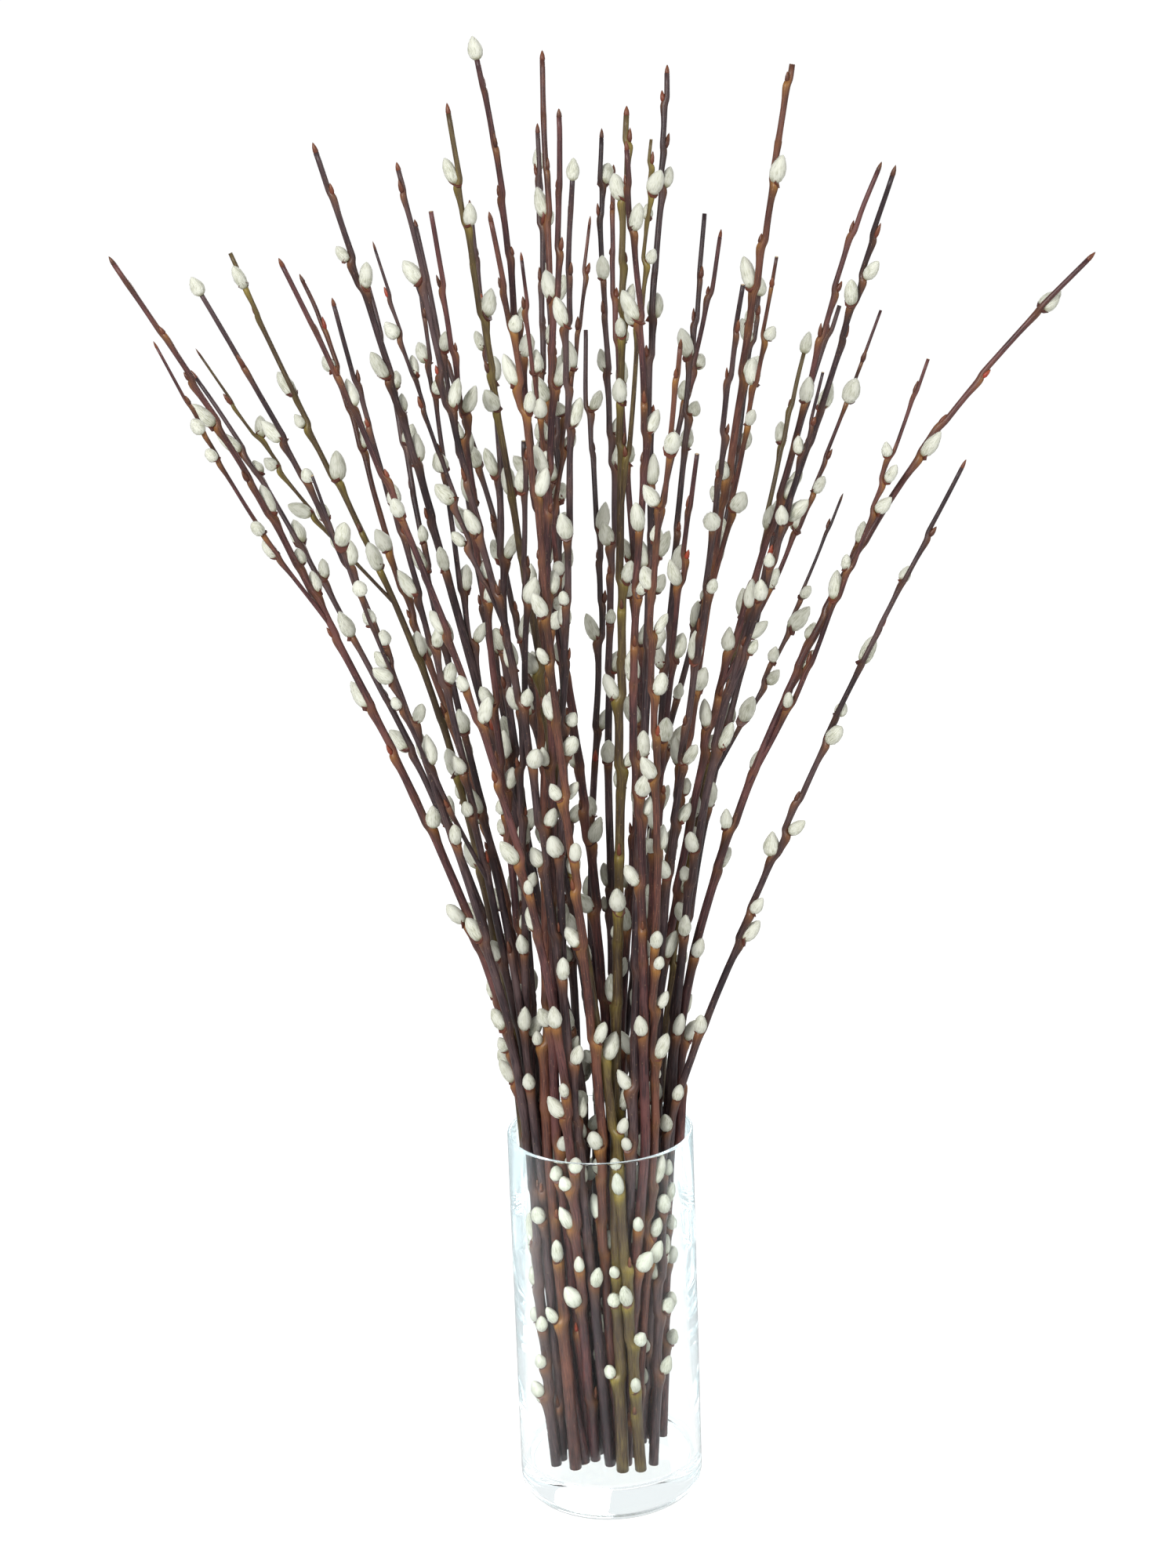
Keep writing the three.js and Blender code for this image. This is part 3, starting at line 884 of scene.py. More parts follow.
@dataclass
class Wood:
    """The bark and the wood of one stem with its side shoot."""

    courses: list[Course]
    joints: dict[int, list[Joint]]
    rng: random.Random
    sides: int = 10
    row_step: float = 6 * MM
    joint_rows: tuple[float, ...] = (-9 * MM, -5 * MM, -2.6 * MM, -1 * MM, 0.2 * MM, 1.4 * MM, 3 * MM)
    zigzag: float = 1.3 * MM
    zigzag_reach: float = 20 * MM
    bracket: float = 1.9 * MM
    bracket_below: float = 8 * MM
    bracket_above: float = 1.3 * MM
    swelling: float = 0.14
    swelling_reach: float = 6 * MM
    scar_reach: float = 4.5 * MM
    knobs: float = 0.045
    knobs_per_metre: float = 70.0
    rim: float = 0.35 * MM

    def build(self) -> bmesh.types.BMesh:
        """Makes the wood of every course of the stem.

        Returns:
            The mesh, with its bark map and its joint layer.
        """
        bm = bmesh.new()
        bm.loops.layers.uv.new("bark")
        bm.verts.layers.float.new("joint")
        for number, course in enumerate(self.courses):
            self._add_course(bm, course, self.joints[number])
        return bm

    def _heights(self, course: Course, joints: list[Joint]) -> list[float]:
        """Spaces the rows of a course evenly, with closer ones round each joint.

        Args:
            course: The course.
            joints: Its joints.

        Returns:
            The rows' heights, from the foot to the tip.
        """
        count = max(4, round((course.top - course.foot) / self.row_step))
        step = (course.top - course.foot) / count
        heights = [course.foot + step * i for i in range(count + 1)]
        for joint in joints:
            heights += [joint.z + offset for offset in self.joint_rows]
        kept = [course.foot]
        for z in sorted(heights):
            if kept[-1] + 0.7 * MM < z < course.top - 0.7 * MM:
                kept.append(z)
        return kept + [course.top]

    def centre(self, course: Course, joints: list[Joint], z: float) -> Vector:
        """Finds the wood's centre, which bends away from each catkin above its joint.

        Args:
            course: The course.
            joints: Its joints.
            z: The height.

        Returns:
            The centre.
        """
        point = course.at(z)
        for joint in joints:
            apart = z - joint.z
            if abs(apart) < 4 * self.zigzag_reach:
                lean = -math.tanh(apart / (2.5 * MM)) * math.exp(-abs(apart) / self.zigzag_reach)
                point += joint.outward * (self.zigzag * joint.size * lean)
        return point

    def _relief(self, joints: list[Joint], z: float, away: Vector) -> tuple[float, float, float]:
        """Works out how the wood swells on one side.

        Args:
            joints: The course's joints.
            z: The height.
            away: The side, as a direction out of the wood.

        Returns:
            The swelling as a share of the radius, the rise of the ledge, and how near a joint is.
        """
        share, rise, near = 0.0, 0.0, 0.0
        for joint in joints:
            apart = z - joint.z
            if abs(apart) > 5 * self.swelling_reach:
                continue
            share += self.swelling * joint.size * math.exp(-(((apart + 2 * MM) / self.swelling_reach) ** 2))
            reach = self.bracket_below if apart < 0 else self.bracket_above
            facing = max(0.0, away.dot(joint.outward))
            ledge = math.exp(-((apart / reach) ** 2))
            rise += self.bracket * joint.size * facing**1.6 * ledge
            near = max(near, joint.size * (0.3 + facing) * math.exp(-abs(apart + 1 * MM) / self.scar_reach))
        return share, rise, near

    def _add_course(self, bm: bmesh.types.BMesh, course: Course, joints: list[Joint]) -> None:
        """Rolls a grid into the bark of one course and closes its ends.

        Args:
            bm: The mesh that takes it.
            course: The course.
            joints: Its joints.
        """
        heights = self._heights(course, joints)
        rows = len(heights) - 1
        known = set(bm.verts)
        made = bmesh.ops.create_grid(bm, x_segments=self.sides, y_segments=rows, size=1.0)
        verts = made["verts"]
        uv_layer = bm.loops.layers.uv["bark"]
        joint_layer = bm.verts.layers.float["joint"]
        places = {}
        lengths = [0.0]
        for low, high in zip(heights, heights[1:]):
            lengths.append(lengths[-1] + (course.at(high) - course.at(low)).length)
        start = self.rng.random()
        for vert in verts:
            column = round((vert.co.x + 1) / 2 * self.sides)
            row = round((vert.co.y + 1) / 2 * rows)
            places[vert] = (column, row)
        frames = []
        for z in heights:
            along = course.along(z)
            side = (Vector((1, 0, 0)) - along * along.x).normalized()
            frames.append((self.centre(course, joints, z), side, along.cross(side), course.radius(z)))
        for vert, (column, row) in places.items():
            centre, side, other, radius = frames[row]
            angle = 2 * math.pi * (column % self.sides) / self.sides
            away = side * math.cos(angle) + other * math.sin(angle)
            share, rise, near = self._relief(joints, heights[row], away)
            knobbly = self.knobs * noise.noise(centre * self.knobs_per_metre + away * 0.9)
            vert.co = centre + away * (radius * (1 + share + knobbly) + rise)
            vert[joint_layer] = min(1.0, near)
        around = 2 * math.pi * course.radii[0]
        for face in {face for vert in verts for face in vert.link_faces}:
            for loop in face.loops:
                column, row = places[loop.vert]
                loop[uv_layer].uv = (column / self.sides * around, lengths[row] + start)
        bmesh.ops.remove_doubles(bm, verts=verts, dist=0.01 * MM)
        fresh = [vert for vert in bm.verts if vert not in known]
        rims = [edge for vert in fresh for edge in vert.link_edges if edge.is_boundary]
        caps = bmesh.ops.holes_fill(bm, edges=list(set(rims)), sides=self.sides)["faces"]
        for cap in caps:
            cap.material_index = 1
        if caps and not course.grows_from:
            self._bevel_cut(bm, caps)
        faces = list({face for vert in fresh for face in vert.link_faces})
        bmesh.ops.recalc_face_normals(bm, faces=faces)

    def _bevel_cut(self, bm: bmesh.types.BMesh, caps: list[bmesh.types.BMFace]) -> None:
        """Gives the cut ends a thin rim of bark.

        Args:
            bm: The mesh.
            caps: The faces of the cuts.
        """
        for cap in caps:
            rim = bmesh.ops.inset_region(bm, faces=[cap], thickness=self.rim, depth=0.0)["faces"]
            for face in rim:
                face.material_index = 0


# ------------------------------------------------------------------------------ catkins and buds


def spin_outline(bm: bmesh.types.BMesh, outline: list[tuple[float, float]], steps: int, weld: float) -> None:
    """Spins an outline about the upright axis into a closed skin.

    Args:
        bm: The empty mesh that takes it.
        outline: Points of (radius, height), from pole to pole.
        steps: Facets round it.
        weld: Corners closer together than this become one.
    """
    line = [bm.verts.new((radius, 0.0, height)) for radius, height in outline]
    edges = [bm.edges.new(pair) for pair in zip(line, line[1:])]
    whole = {"cent": (0, 0, 0), "axis": (0, 0, 1), "angle": 2 * math.pi, "use_merge": True}
    bmesh.ops.spin(bm, geom=line + edges, steps=steps, **whole)
    bmesh.ops.remove_doubles(bm, verts=bm.verts[:], dist=weld)
    bmesh.ops.recalc_face_normals(bm, faces=bm.faces[:])


@dataclass
class Template:
    """A small shape along +Z from 0 to 1, one unit in radius, copied onto many seats."""

    mesh: bpy.types.Mesh

    def place(self, bm: bmesh.types.BMesh, matrix: Matrix, bend: Vector, tone: float) -> None:
        """Copies the shape into a mesh.

        Args:
            bm: The mesh that takes it.
            matrix: From the shape's unit space to its place.
            bend: How far the tip is drawn aside, in place.
            tone: Its own tone from 0 to 1, which also shifts its pattern.
        """
        first = len(bm.verts)
        first_face = len(bm.faces)
        bm.from_mesh(self.mesh)
        bm.verts.ensure_lookup_table()
        bm.faces.ensure_lookup_table()
        verts = bm.verts[first:]
        heights = [vert.co.z for vert in verts]
        bmesh.ops.transform(bm, matrix=matrix, verts=verts)
        up_layer = bm.verts.layers.float["up"]
        tone_layer = bm.verts.layers.float["tone"]
        for vert, height in zip(verts, heights):
            vert.co += bend * height * height
            vert[up_layer] = min(1.0, max(0.0, height))
            vert[tone_layer] = tone
        uv_layer = bm.loops.layers.uv["silk"]
        shift = Vector((tone * 31, tone * 53))
        for face in bm.faces[first_face:]:
            for loop in face.loops:
                loop[uv_layer].uv += shift


def spun_template(name: str, outline: list[tuple[float, float]], steps: int) -> Template:
    """Spins an outline of (radius, height) points into a closed shape.

    Args:
        name: The mesh's name.
        outline: Points from the bottom pole to the top pole.
        steps: Facets round it.

    Returns:
        The shape.
    """
    bm = bmesh.new()
    bm.verts.layers.float.new("up")
    uv_layer = bm.loops.layers.uv.new("silk")
    spin_outline(bm, outline, steps, 1e-4)
    for face in bm.faces:
        middle = face.calc_center_median()
        base = math.atan2(middle.y, middle.x)
        for loop in face.loops:
            at = loop.vert.co
            turn = math.atan2(at.y, at.x) if at.xy.length > 1e-3 else base
            if turn - base > math.pi:
                turn -= 2 * math.pi
            if base - turn > math.pi:
                turn += 2 * math.pi
            loop[uv_layer].uv = (turn / (2 * math.pi), at.z)
    mesh = bpy.data.meshes.new(name)
    bm.to_mesh(mesh)
    bm.free()
    return Template(mesh)


@dataclass
class CatkinKit:
    """The shapes that the catkins and buds are made of."""

    rng: random.Random
    body_outline: tuple[tuple[float, float], ...] = (
        (0.0, 0.0),
        (0.5, 0.03),
        (0.83, 0.14),
        (1.0, 0.34),
        (0.97, 0.52),
        (0.79, 0.71),
        (0.5, 0.87),
        (0.22, 0.96),
        (0.0, 1.0),
    )
    body_sides: int = 9
    coats: int = 4
    hairs: int = 56
    hair_width: float = 0.045
    bodies: list[Template] = field(init=False)
    downs: list[Template] = field(init=False)
    cap: Template = field(init=False)
    bud: Template = field(init=False)

    def __post_init__(self) -> None:
        """Makes the shapes."""
        plump = list(self.body_outline)
        slim = [(r * (0.9 if z < 0.6 else 1.0), z) for r, z in plump]
        pointed = [(r * (1.0 - 0.22 * smooth(0.4, 1.0, z)), z) for r, z in plump]
        self.bodies = [
            spun_template("catkin_plump", plump, self.body_sides),
            spun_template("catkin_slim", slim, self.body_sides),
            spun_template("catkin_pointed", pointed, self.body_sides),
        ]
        self.downs = [self._coat(number) for number in range(self.coats)]
        cup = [(0.0, -0.02), (0.62, 0.01), (0.97, 0.16), (0.9, 0.17), (0.0, 0.06)]
        self.cap = spun_template("scale_cap", cup, 8)
        closed = [(0.0, 0.0), (0.75, 0.06), (1.0, 0.3), (0.8, 0.6), (0.35, 0.88), (0.0, 1.0)]
        self.bud = spun_template("closed_bud", closed, 6)

    def _radius(self, height: float) -> float:
        """Finds the body's radius in its unit space.

        Args:
            height: The height, from 0 to 1.

        Returns:
            The radius.
        """
        for (r0, z0), (r1, z1) in zip(self.body_outline, self.body_outline[1:]):
            if z0 <= height <= z1:
                return r0 + (r1 - r0) * (height - z0) / (z1 - z0)
        return 0.0

    def _coat(self, number: int) -> Template:
        """Makes a coat of single hairs lying up and a little off the body, three corners each.

        Args:
            number: The coat's number, for its name.

        Returns:
            The coat.
        """
        bm = bmesh.new()
        bm.verts.layers.float.new("up")
        bm.loops.layers.uv.new("silk")
        for _ in range(self.hairs):
            height = self.rng.uniform(0.05, 0.9)
            turn = self.rng.uniform(0, 2 * math.pi)
            radius = self._radius(height) * 0.97
            length = self.rng.uniform(0.1, 0.18)
            flare = self.rng.uniform(0.02, 0.26)
            blade = bmesh.ops.create_circle(bm, segments=3, radius=1.0, cap_ends=True)["verts"]
            away = Vector((math.cos(turn), math.sin(turn), 0))
            across = Vector((-math.sin(turn), math.cos(turn), 0))
            root = away * radius + UP * height
            end_radius = max(0.0, self._radius(min(1.0, height + length)) + flare * length * 1.6)
            end = away * end_radius + UP * (height + length)
            end += across * self.rng.uniform(-0.12, 0.12)
            corners = (root - across * self.hair_width, root + across * self.hair_width, end)
            for vert, corner in zip(blade, corners):
                vert.co = corner
        mesh = bpy.data.meshes.new(f"down_{number}")
        bm.to_mesh(mesh)
        bm.free()
        return Template(mesh)


def seat_matrix(seat: Vector, direction: Vector, turn: float, radius: float, length: float) -> Matrix:
    """The place of a shape that stands on a seat.

    Args:
        seat: Where its bottom is.
        direction: Which way it points.
        turn: How far it is turned about itself.
        radius: Its radius.
        length: Its length.

    Returns:
        The matrix from the shape's unit space.
    """
    upright = direction.to_track_quat("Z", "Y").to_matrix().to_4x4()
    size = Matrix.Diagonal((radius, radius, length, 1.0))
    return Matrix.Translation(seat) @ upright @ Matrix.Rotation(turn, 4, "Z") @ size


@dataclass
class Clothing:
    """The catkins, their down, their scales and the closed buds of one stem."""

    kit: CatkinKit
    wood: Wood
    rng: random.Random
    bud_lengths: tuple[float, float] = (6 * MM, 10 * MM)
    bud_radii: tuple[float, float] = (1.3 * MM, 1.8 * MM)
    bud_leans: tuple[float, float] = (6.0, 16.0)
    end_catkin_radii: tuple[float, float] = (3.6 * MM, 4.6 * MM)
    end_catkin_lengths: tuple[float, float] = (12 * MM, 15 * MM)
    end_bud_lengths: tuple[float, float] = (6 * MM, 8 * MM)
    cap_tilts: tuple[float, float] = (5.0, 22.0)
    bodies: bmesh.types.BMesh = field(init=False)
    down: bmesh.types.BMesh = field(init=False)
    scales: bmesh.types.BMesh = field(init=False)

    def __post_init__(self) -> None:
        """Starts the three meshes."""
        self.bodies, self.down, self.scales = bmesh.new(), bmesh.new(), bmesh.new()
        for bm in (self.bodies, self.down, self.scales):
            bm.verts.layers.float.new("up")
            bm.verts.layers.float.new("tone")
            bm.loops.layers.uv.new("silk")

    def add_catkin(self, catkin: Catkin) -> None:
        """Adds one catkin, seated on its joint's ledge, with its down and its scale.

        Args:
            catkin: Where it sits and its size.
        """
        number = self.wood.courses.index(catkin.course)
        joints = self.wood.joints[number]
        offset = self.wood.centre(catkin.course, joints, catkin.seat.z) - catkin.course.at(catkin.seat.z)
        seat = catkin.seat + offset + catkin.outward * (0.5 * MM)
        direction = (catkin.tip - catkin.seat).normalized()
        turn = self.rng.uniform(0, 2 * math.pi)
        radius = catkin.radius * self.rng.uniform(0.97, 1.05)
        matrix = seat_matrix(seat, direction, turn, radius, catkin.length)
        bend = catkin.outward * (self.rng.uniform(-2.0, 0.6) * MM)
        tone = self.rng.random()
        self.rng.choice(self.kit.bodies).place(self.bodies, matrix, bend, tone)
        self.rng.choice(self.kit.downs).place(self.down, matrix, bend, tone)
        tilt = Matrix.Rotation(math.radians(self.rng.uniform(*self.cap_tilts)), 4, "X")
        cap = seat_matrix(seat, direction, turn, radius * 0.9, catkin.length * 0.95) @ tilt
        self.kit.cap.place(self.scales, cap, Vector(), self.rng.uniform(0.2, 0.88))

    def add_bud(self, course: Course, joint: Joint) -> None:
        """Adds one closed bud, pressed against the wood above its joint.

        Args:
            course: The course that it sits on.
            joint: Its joint.
        """
        joints = self.wood.joints[self.wood.courses.index(course)]
        along = course.along(joint.z)
        radius = course.radius(joint.z)
        seat = self.wood.centre(course, joints, joint.z) + joint.outward * (radius * 0.85)
        lean = math.radians(self.rng.uniform(*self.bud_leans))
        direction = (along * math.cos(lean) + joint.outward * math.sin(lean)).normalized()
        length = self.rng.uniform(*self.bud_lengths)
        width = self.rng.uniform(*self.bud_radii)
        matrix = seat_matrix(seat, direction, self.rng.uniform(0, 6), width, length)
        self.kit.bud.place(self.scales, matrix, joint.outward * (-0.5 * MM), self.rng.random())

    def add_end_catkin(self, course: Course) -> None:
        """Adds a catkin that stands straight up on a cut end.

        Args:
            course: The course that ends there.
        """
        along = course.along(course.top)
        joints = self.wood.joints[self.wood.courses.index(course)]
        seat = self.wood.centre(course, joints, course.top) - along * (2 * MM)
        radius = self.rng.uniform(*self.end_catkin_radii)
        length = self.rng.uniform(*self.end_catkin_lengths)
        matrix = seat_matrix(seat, along, self.rng.uniform(0, 6), radius, length)
        tone = self.rng.random()
        self.kit.bodies[2].place(self.bodies, matrix, Vector(), tone)
        self.rng.choice(self.kit.downs).place(self.down, matrix, Vector(), tone)

    def add_end_bud(self, course: Course) -> None:
        """Adds the pointed bud that ends an uncut tip.

        Args:
            course: The course that ends there.
        """
        along = course.along(course.top)
        radius = course.radius(course.top)
        joints = self.wood.joints[self.wood.courses.index(course)]
        seat = self.wood.centre(course, joints, course.top) - along * (1.5 * MM)
        length = self.rng.uniform(*self.end_bud_lengths)
        matrix = seat_matrix(seat, along, 0.0, radius * 1.05, length)
        self.kit.bud.place(self.scales, matrix, Vector(), self.rng.uniform(0, 0.9))


# ------------------------------------------------------------------------------ stems


@dataclass
class Stem:
    """One willow stem: its wood with its side shoot, its catkins and its buds."""

    name: str
    slot: str
    courses: list[Course]
    catkins: list[Catkin]
    bud_spacing: tuple[float, float] = (24 * MM, 38 * MM)
    bud_turn: float = math.radians(144)
    joint_reach: float = 16 * MM
    catkin_ends: float = 0.12
    bud_ends: float = 0.55

    def build(self, palette: Palette, kit: CatkinKit) -> None:
        """Builds and dresses the stem's pieces.

        Args:
            palette: The materials.
            kit: The shapes of catkins and buds.
        """
        rng = random.Random(f"{SEED} {self.name}")
        joints: dict[int, list[Joint]] = {}
        buds: list[tuple[Course, Joint]] = []
        for number, course in enumerate(self.courses):
            own = [c for c in self.catkins if c.course is course]
            joints[number] = [Joint(c.seat.z, c.outward, rng.uniform(0.8, 1.15)) for c in own]
            for joint in self._bud_joints(course, joints[number], rng):
                joints[number].append(joint)
                buds.append((course, joint))
        wood = Wood(self.courses, joints, rng)
        bark = Bark.of_slot(self.slot)
        nodes = (self.name,)
        materials = [palette.barks[bark], palette.cut]
        make_piece(f"{self.name}_bark", wood.build(), materials, nodes)
        clothing = Clothing(kit, wood, rng)
        for catkin in self.catkins:
            clothing.add_catkin(catkin)
        for course, joint in buds:
            clothing.add_bud(course, joint)
        for course in self.courses:
            end = rng.random()
            if end < self.catkin_ends:
                clothing.add_end_catkin(course)
            elif end < self.catkin_ends + self.bud_ends:
                clothing.add_end_bud(course)
        make_piece(f"{self.name}_catkins", clothing.bodies, [palette.catkin], nodes)
        make_piece(f"{self.name}_down", clothing.down, [palette.down], nodes)
        make_piece(f"{self.name}_scales", clothing.scales, [palette.scale], nodes)

    def _bud_joints(self, course: Course, taken: list[Joint], rng: random.Random) -> list[Joint]:
        """Chooses the joints with closed buds, wherever no catkin is near.

        Args:
            course: The course.
            taken: The joints that carry catkins.
            rng: The stem's random numbers.

        Returns:
            The joints, from the lowest to the highest.
        """
        found = []
        turn = rng.uniform(0, 2 * math.pi)
        z = course.foot + rng.uniform(30, 60) * MM
        while z < course.top - 10 * MM:
            turn += self.bud_turn
            bare = smooth(0.35, 0.9, (z - course.foot) / (course.top - course.foot))
            near = min((abs(z - joint.z) for joint in taken), default=1.0)
            if near > self.joint_reach and rng.random() < 0.35 + 0.65 * bare:
                outward = Vector((math.cos(turn), math.sin(turn), 0))
                found.append(Joint(z, outward, rng.uniform(0.4, 0.85)))
            z += rng.uniform(*self.bud_spacing)
        return found


# ------------------------------------------------------------------------------ vase


@dataclass
class Vase:
    """The glass cylinder: thin wall, melted rim, heavy rounded bottom."""

    node: str = "vase"
    wall: float = 2.6 * MM
    base: float = 24 * MM
    corner: float = 15 * MM
    floor_corner: float = 6 * MM
    segments: int = 144
    arc_steps: int = 9

    def build(self, palette: Palette) -> bpy.types.Object:
        """Spins the vase's outline and dresses it in glass.

        Args:
            palette: The materials.

        Returns:
            The vase.
        """
        low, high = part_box(self.node)
        radius = high.x
        inner = radius - self.wall
        lip = self.wall / 2
        outline = [(0.0, 0.0)]
        outline += self._arc(radius - self.corner, self.corner, self.corner, -90, 0)
        outline += self._arc(radius - lip, high.z - lip, lip, 0, 180)
        floor = self._arc(inner - self.floor_corner, self.base + self.floor_corner, self.floor_corner, 0, -90)
        outline += floor + [(0.0, self.base - 0.4 * MM)]
        bm = bmesh.new()
        spin_outline(bm, outline, self.segments, 0.005 * MM)
        return make_piece("vase_glass", bm, [palette.glass], (self.node,))

    def _arc(self, r: float, z: float, radius: float, start: float, end: float) -> list[tuple[float, float]]:
        """Draws an arc in the (radius, height) plane.

        Args:
            r: The radius of its centre.
            z: The height of its centre.
            radius: Its own radius.
            start: The angle it starts at, in degrees.
            end: The angle it ends at, in degrees.

        Returns:
            Its points.
        """
        points = []
        for step in range(self.arc_steps + 1):
            angle = math.radians(start + (end - start) * step / self.arc_steps)
            points.append((r + radius * math.cos(angle), z + radius * math.sin(angle)))
        return points


# ------------------------------------------------------------------------------ studio


@dataclass
class Studio:
    """A white lit table, big soft lamps near the camera and a white room."""

    distance: float = 1.807
    height: float = 0.978
    pitch: float = math.radians(15.5)
    roll: float = math.radians(-2.0)
    lens: float = 70.0
    table_size: float = 120.0
    aim: Vector = field(default_factory=lambda: Vector((0, 0, 0.45)))
    # Each softbox's place, size and power in watts.
    softboxes: dict[str, tuple[tuple[float, float, float], float, float]] = field(
        default_factory=lambda: {
            "key_softbox": ((-1.1, -2.1, 1.7), 0.9, 50.0),
            "fill_softbox": ((1.7, -1.5, 1.0), 1.2, 12.0),
            "back_softbox": ((0.7, 2.3, 1.7), 1.4, 40.0),
        }
    )
    table_glow: float = 0.97
    table_matt: float = 0.2
    table_dim: float = 0.5
    table_drop: float = 0.3 * MM
    room_light: float = 0.34
    glass_bounces: int = 96

    def build(self) -> None:
        """Sets up table, light and camera."""
        self._table()
        self._world()
        for name, softbox in self.softboxes.items():
            self._lamp(name, *softbox)
        self._camera()
        scene = bpy.context.scene
        scene.view_settings.view_transform = "Standard"
        # Light runs round many times in the glass wall before it leaves at the rim.
        scene.cycles.max_bounces = self.glass_bounces
        scene.cycles.transmission_bounces = self.glass_bounces
        scene.cycles.glossy_bounces = self.glass_bounces

    def _table(self) -> None:
        """A white table top lit from within, so that it stays white under the vase."""
        bm = bmesh.new()
        bmesh.ops.create_grid(bm, x_segments=1, y_segments=1, size=self.table_size)
        bmesh.ops.translate(bm, vec=(0, 0, -self.table_drop), verts=bm.verts[:])
        mesh = bpy.data.meshes.new("table_top")
        bm.to_mesh(mesh)
        bm.free()
        table = bpy.data.objects.new("table_top", mesh)
        bpy.context.scene.collection.objects.link(table)
        material, tree, surface = new_tree("white_lit_table")
        matt = add_node(tree, "ShaderNodeBsdfDiffuse", inputs={"Color": (*[self.table_matt] * 3, 1.0)})
        glow = add_node(tree, "ShaderNodeEmission", inputs={"Strength": self.table_glow})
        lit = add_node(tree, "ShaderNodeAddShader", inputs={0: matt.outputs[0], 1: glow.outputs[0]})
        # What the table throws back onto the wood is held down, or the bunch would lose its shade.
        dim = add_node(tree, "ShaderNodeBsdfDiffuse", inputs={"Color": (*[self.table_dim] * 3, 1.0)})
        inputs = {0: self._thrown_back(tree), 1: lit.outputs[0], 2: dim.outputs[0]}
        mixed = add_node(tree, "ShaderNodeMixShader", inputs=inputs)
        tree.links.new(mixed.outputs[0], surface)
        mesh.materials.append(material)

    def _world(self) -> None:
        """A white room that gives the bunch only a soft part of its light."""
        world = bpy.data.worlds.new("white_room")
        world.use_nodes = True
        tree = world.node_tree
        tree.nodes.clear()
        strength = ranged(tree, self._thrown_back(tree), (0.0, 1.0), (1.0, self.room_light), "LINEAR")
        inputs = {"Color": (1.0, 1.0, 1.0, 1.0), "Strength": strength}
        room = add_node(tree, "ShaderNodeBackground", inputs=inputs)
        output = add_node(tree, "ShaderNodeOutputWorld")
        tree.links.new(room.outputs[0], output.inputs["Surface"])
        bpy.context.scene.world = world

    def _thrown_back(self, tree: bpy.types.NodeTree) -> bpy.types.NodeSocket:
        """Tells the light that the bunch throws back from what is seen.

        Args:
            tree: The node tree.

        Returns:
            A socket that is 1 for light thrown back and 0 for the rest.
        """
        path = add_node(tree, "ShaderNodeLightPath")
        # Light that comes through glass counts as glossy too, and is what is seen through it.
        rays = (path.outputs["Is Glossy Ray"], path.outputs["Is Transmission Ray"])
        mirrored = math_node(tree, "SUBTRACT", *rays, clamp=True)
        # The depth also counts what the bunch throws back out through the glass.
        return math_node(tree, "MAXIMUM", path.outputs["Diffuse Depth"], mirrored, clamp=True)

    def _lamp(self, name: str, place: tuple[float, float, float], size: float, power: float) -> None:
        """Sets up a square softbox that faces the middle of the bunch.

        Args:
            name: Its name.
            place: Where it hangs.
            size: The length of its side.
            power: Its power in watts.
        """
        lamp = bpy.data.lights.new(name, "AREA")
        lamp.size = size
        lamp.energy = power
        holder = bpy.data.objects.new(name, lamp)
        holder.location = place
        sight = self.aim - Vector(place)
        holder.rotation_euler = sight.to_track_quat("-Z", "Y").to_euler()
        bpy.context.scene.collection.objects.link(holder)

    def _camera(self) -> None:
        """The camera, a little above the bunch and looking down on the vase."""
        data = bpy.data.cameras.new("camera")
        data.lens = self.lens
        data.sensor_width = 36.0
        camera = bpy.data.objects.new("camera", data)
        turn = Matrix.Rotation(math.pi / 2 - self.pitch, 4, "X") @ Matrix.Rotation(self.roll, 4, "Z")
        camera.matrix_world = Matrix.Translation((0, -self.distance, self.height)) @ turn
        bpy.context.scene.collection.objects.link(camera)
        bpy.context.scene.camera = camera


# ------------------------------------------------------------------------------ more catkins


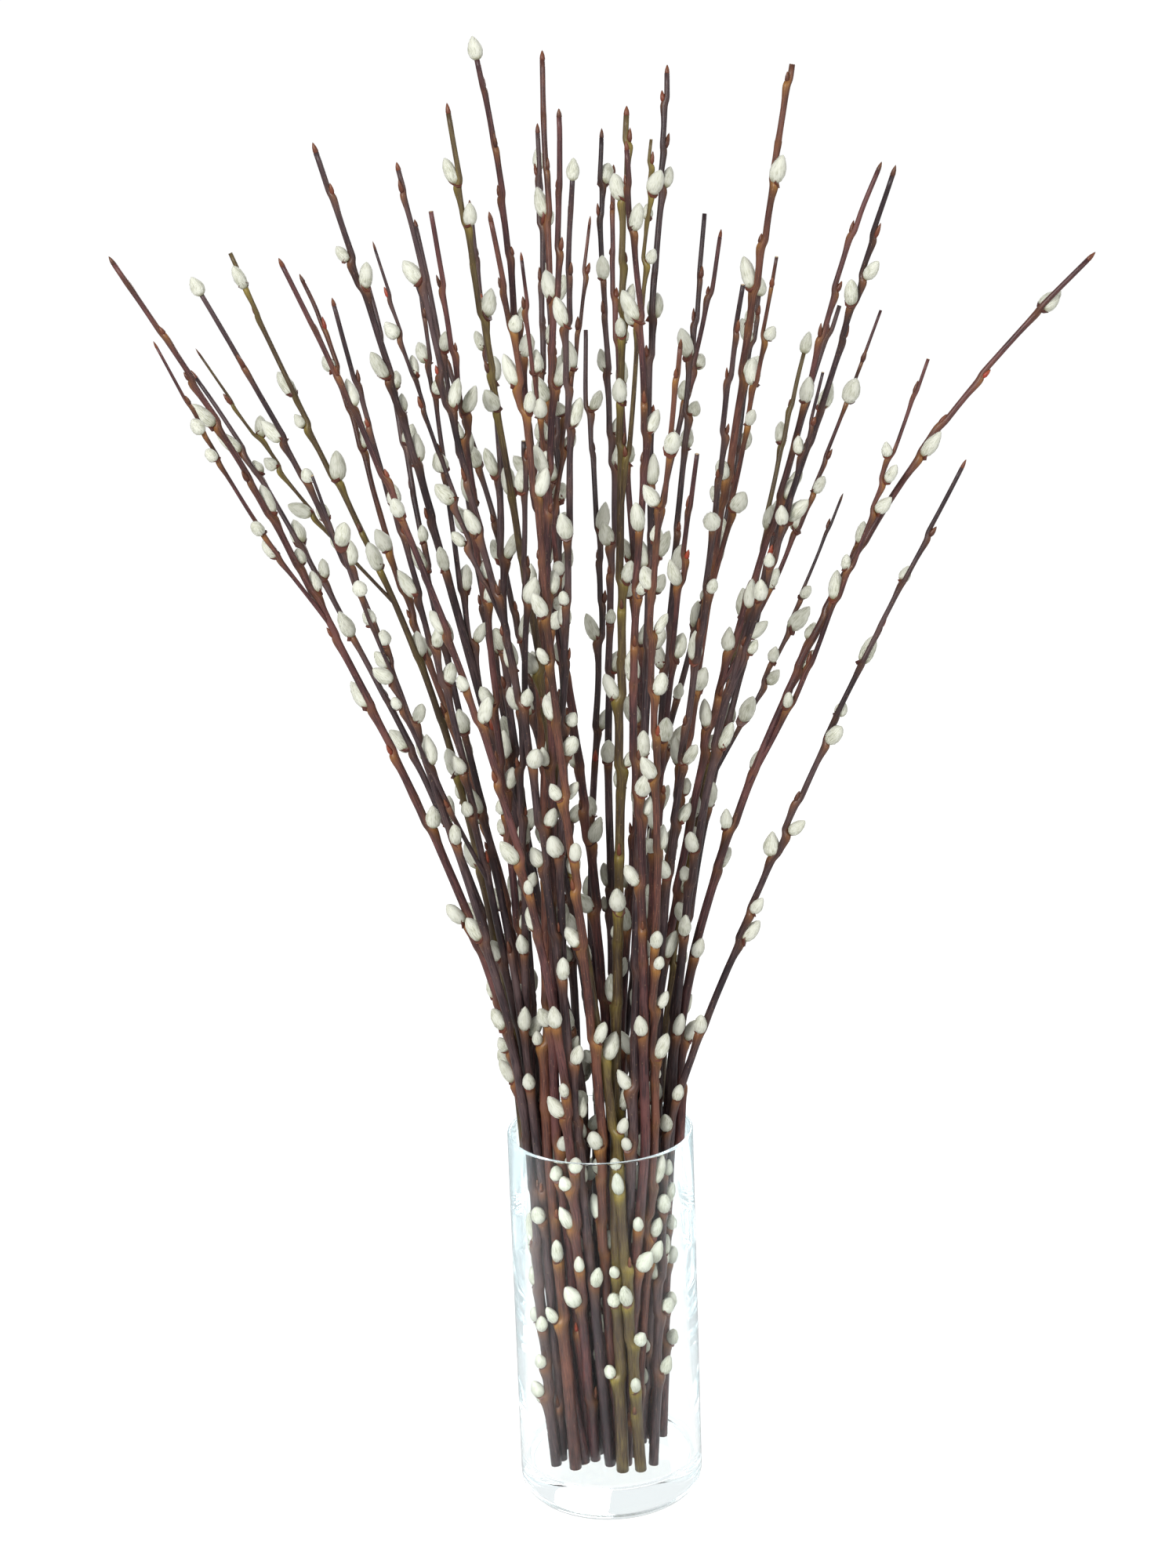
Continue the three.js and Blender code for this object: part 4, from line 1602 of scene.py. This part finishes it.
@dataclass
class Thicket:
    """The whole bunch, for finding room for the small late catkins between the large ones."""

    stems: list[Stem]
    rng: random.Random
    glass_inside: float
    glass_top: float
    step: float = 5 * MM
    tries: int = 9
    tries_in_glass: int = 12
    lengths: tuple[float, float] = (9.5 * MM, 14.5 * MM)
    widths: tuple[float, float] = (6.6 * MM, 9.0 * MM)
    lean: tuple[float, float] = (16.0, 34.0)
    lowest: float = 60 * MM
    bare_top: float = 45 * MM
    joint_gap: float = 13 * MM
    gap: float = 0.3 * MM
    tree: KDTree = field(init=False)
    owners: list[tuple[Course | None, float]] = field(init=False)
    added: list[Catkin] = field(init=False)

    def __post_init__(self) -> None:
        """Gathers points along every course and every catkin."""
        points: list[Vector] = []
        self.owners = []
        self.added = []
        for stem in self.stems:
            for course in stem.courses:
                z = course.foot
                while z < course.top:
                    points.append(course.at(z))
                    self.owners.append((course, course.radius(z)))
                    z += self.step
            for catkin in stem.catkins:
                for point, radius in self._beads(catkin):
                    points.append(point)
                    self.owners.append((None, radius))
        self.tree = KDTree(len(points))
        for i, point in enumerate(points):
            self.tree.insert(point, i)
        self.tree.balance()

    def _beads(self, catkin: Catkin) -> list[tuple[Vector, float]]:
        """A catkin as four beads, each a centre and a radius."""
        shares = ((0.18, 0.85), (0.4, 1.0), (0.65, 0.8), (0.92, 0.35))
        return [(catkin.seat.lerp(catkin.tip, at), catkin.radius * size) for at, size in shares]

    def _has_room(self, catkin: Catkin) -> bool:
        """Tries a catkin against the glass, the other stems and the other catkins.

        Args:
            catkin: The catkin.

        Returns:
            True if it would touch none of them.
        """
        for point, own in self._beads(catkin):
            if point.z < self.glass_top + own and point.xy.length + own > self.glass_inside - self.gap:
                return False
            for _, index, distance in self.tree.find_range(point, 14 * MM):
                course, radius = self.owners[index]
                if course is not catkin.course and distance < radius + own + self.gap:
                    return False
            for other in self.added:
                for bead, radius in self._beads(other):
                    if (bead - point).length < radius + own + self.gap:
                        return False
        return True

    def _at(self, course: Course, z: float, turn: float) -> Catkin:
        """Makes a small catkin.

        Args:
            course: The course that it sits on.
            z: The height of its seat.
            turn: The angle that it is turned round the course.

        Returns:
            The catkin.
        """
        along = course.along(z)
        outward = Vector((math.cos(turn), math.sin(turn), 0))
        lean = math.radians(self.rng.uniform(*self.lean))
        direction = (along * math.cos(lean) + outward * math.sin(lean)).normalized()
        radius = self.rng.uniform(*self.widths) / 2
        seat = course.at(z) + outward * (course.radius(z) + 0.2 * radius)
        tip = seat + direction * self.rng.uniform(*self.lengths)
        return Catkin(seat, tip, radius, course)

    def fill(self) -> None:
        """Adds small catkins wherever tries along each course find room."""
        for stem in self.stems:
            for course in stem.courses:
                low = max(self.lowest, course.foot + 25 * MM)
                high = course.top - self.bare_top
                tops = [high] * self.tries
                if low < self.glass_top:
                    tops += [min(high, self.glass_top)] * self.tries_in_glass
                for top in tops:
                    z = self.rng.uniform(low, top)
                    catkin = self._at(course, z, self.rng.uniform(0, 2 * math.pi))
                    apart = [abs(z - c.seat.z) for c in stem.catkins if c.course is course]
                    if min(apart, default=1.0) > self.joint_gap and self._has_room(catkin):
                        stem.catkins.append(catkin)
                        self.added.append(catkin)


def build_arrangement(frame: dict[str, Any]) -> None:
    """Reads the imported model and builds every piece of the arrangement.
    """
    palette = Palette()
    kit = CatkinKit(random.Random(SEED))
    vase = Vase()
    vase.build(palette)
    slots = {part["node"]: part["material_slot"] for part in frame["record"]["subparts"]}
    stems = []
    for name in sorted(node for node in frame["nodes"] if node.startswith("stem_")):
        courses, catkins = StemReader(frame["nodes"][name]).read()
        stems.append(Stem(name, slots[name], courses, catkins))
    LOG.info(
        "read %d stems, %d courses, %d catkins",
        len(stems),
        sum(len(stem.courses) for stem in stems),
        sum(len(stem.catkins) for stem in stems),
    )
    _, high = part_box(vase.node)
    thicket = Thicket(stems, random.Random(SEED), high.x - vase.wall, high.z)
    thicket.fill()
    LOG.info("%d small catkins added", len(thicket.added))
    for stem in stems:
        stem.build(palette, kit)


def main() -> None:
    """Loads the frame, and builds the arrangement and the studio."""
    logging.basicConfig(level=logging.INFO, format="%(name)s: %(message)s")
    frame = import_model()
    build_arrangement(frame)
    Studio().build()


if __name__ == "__main__":
    main()
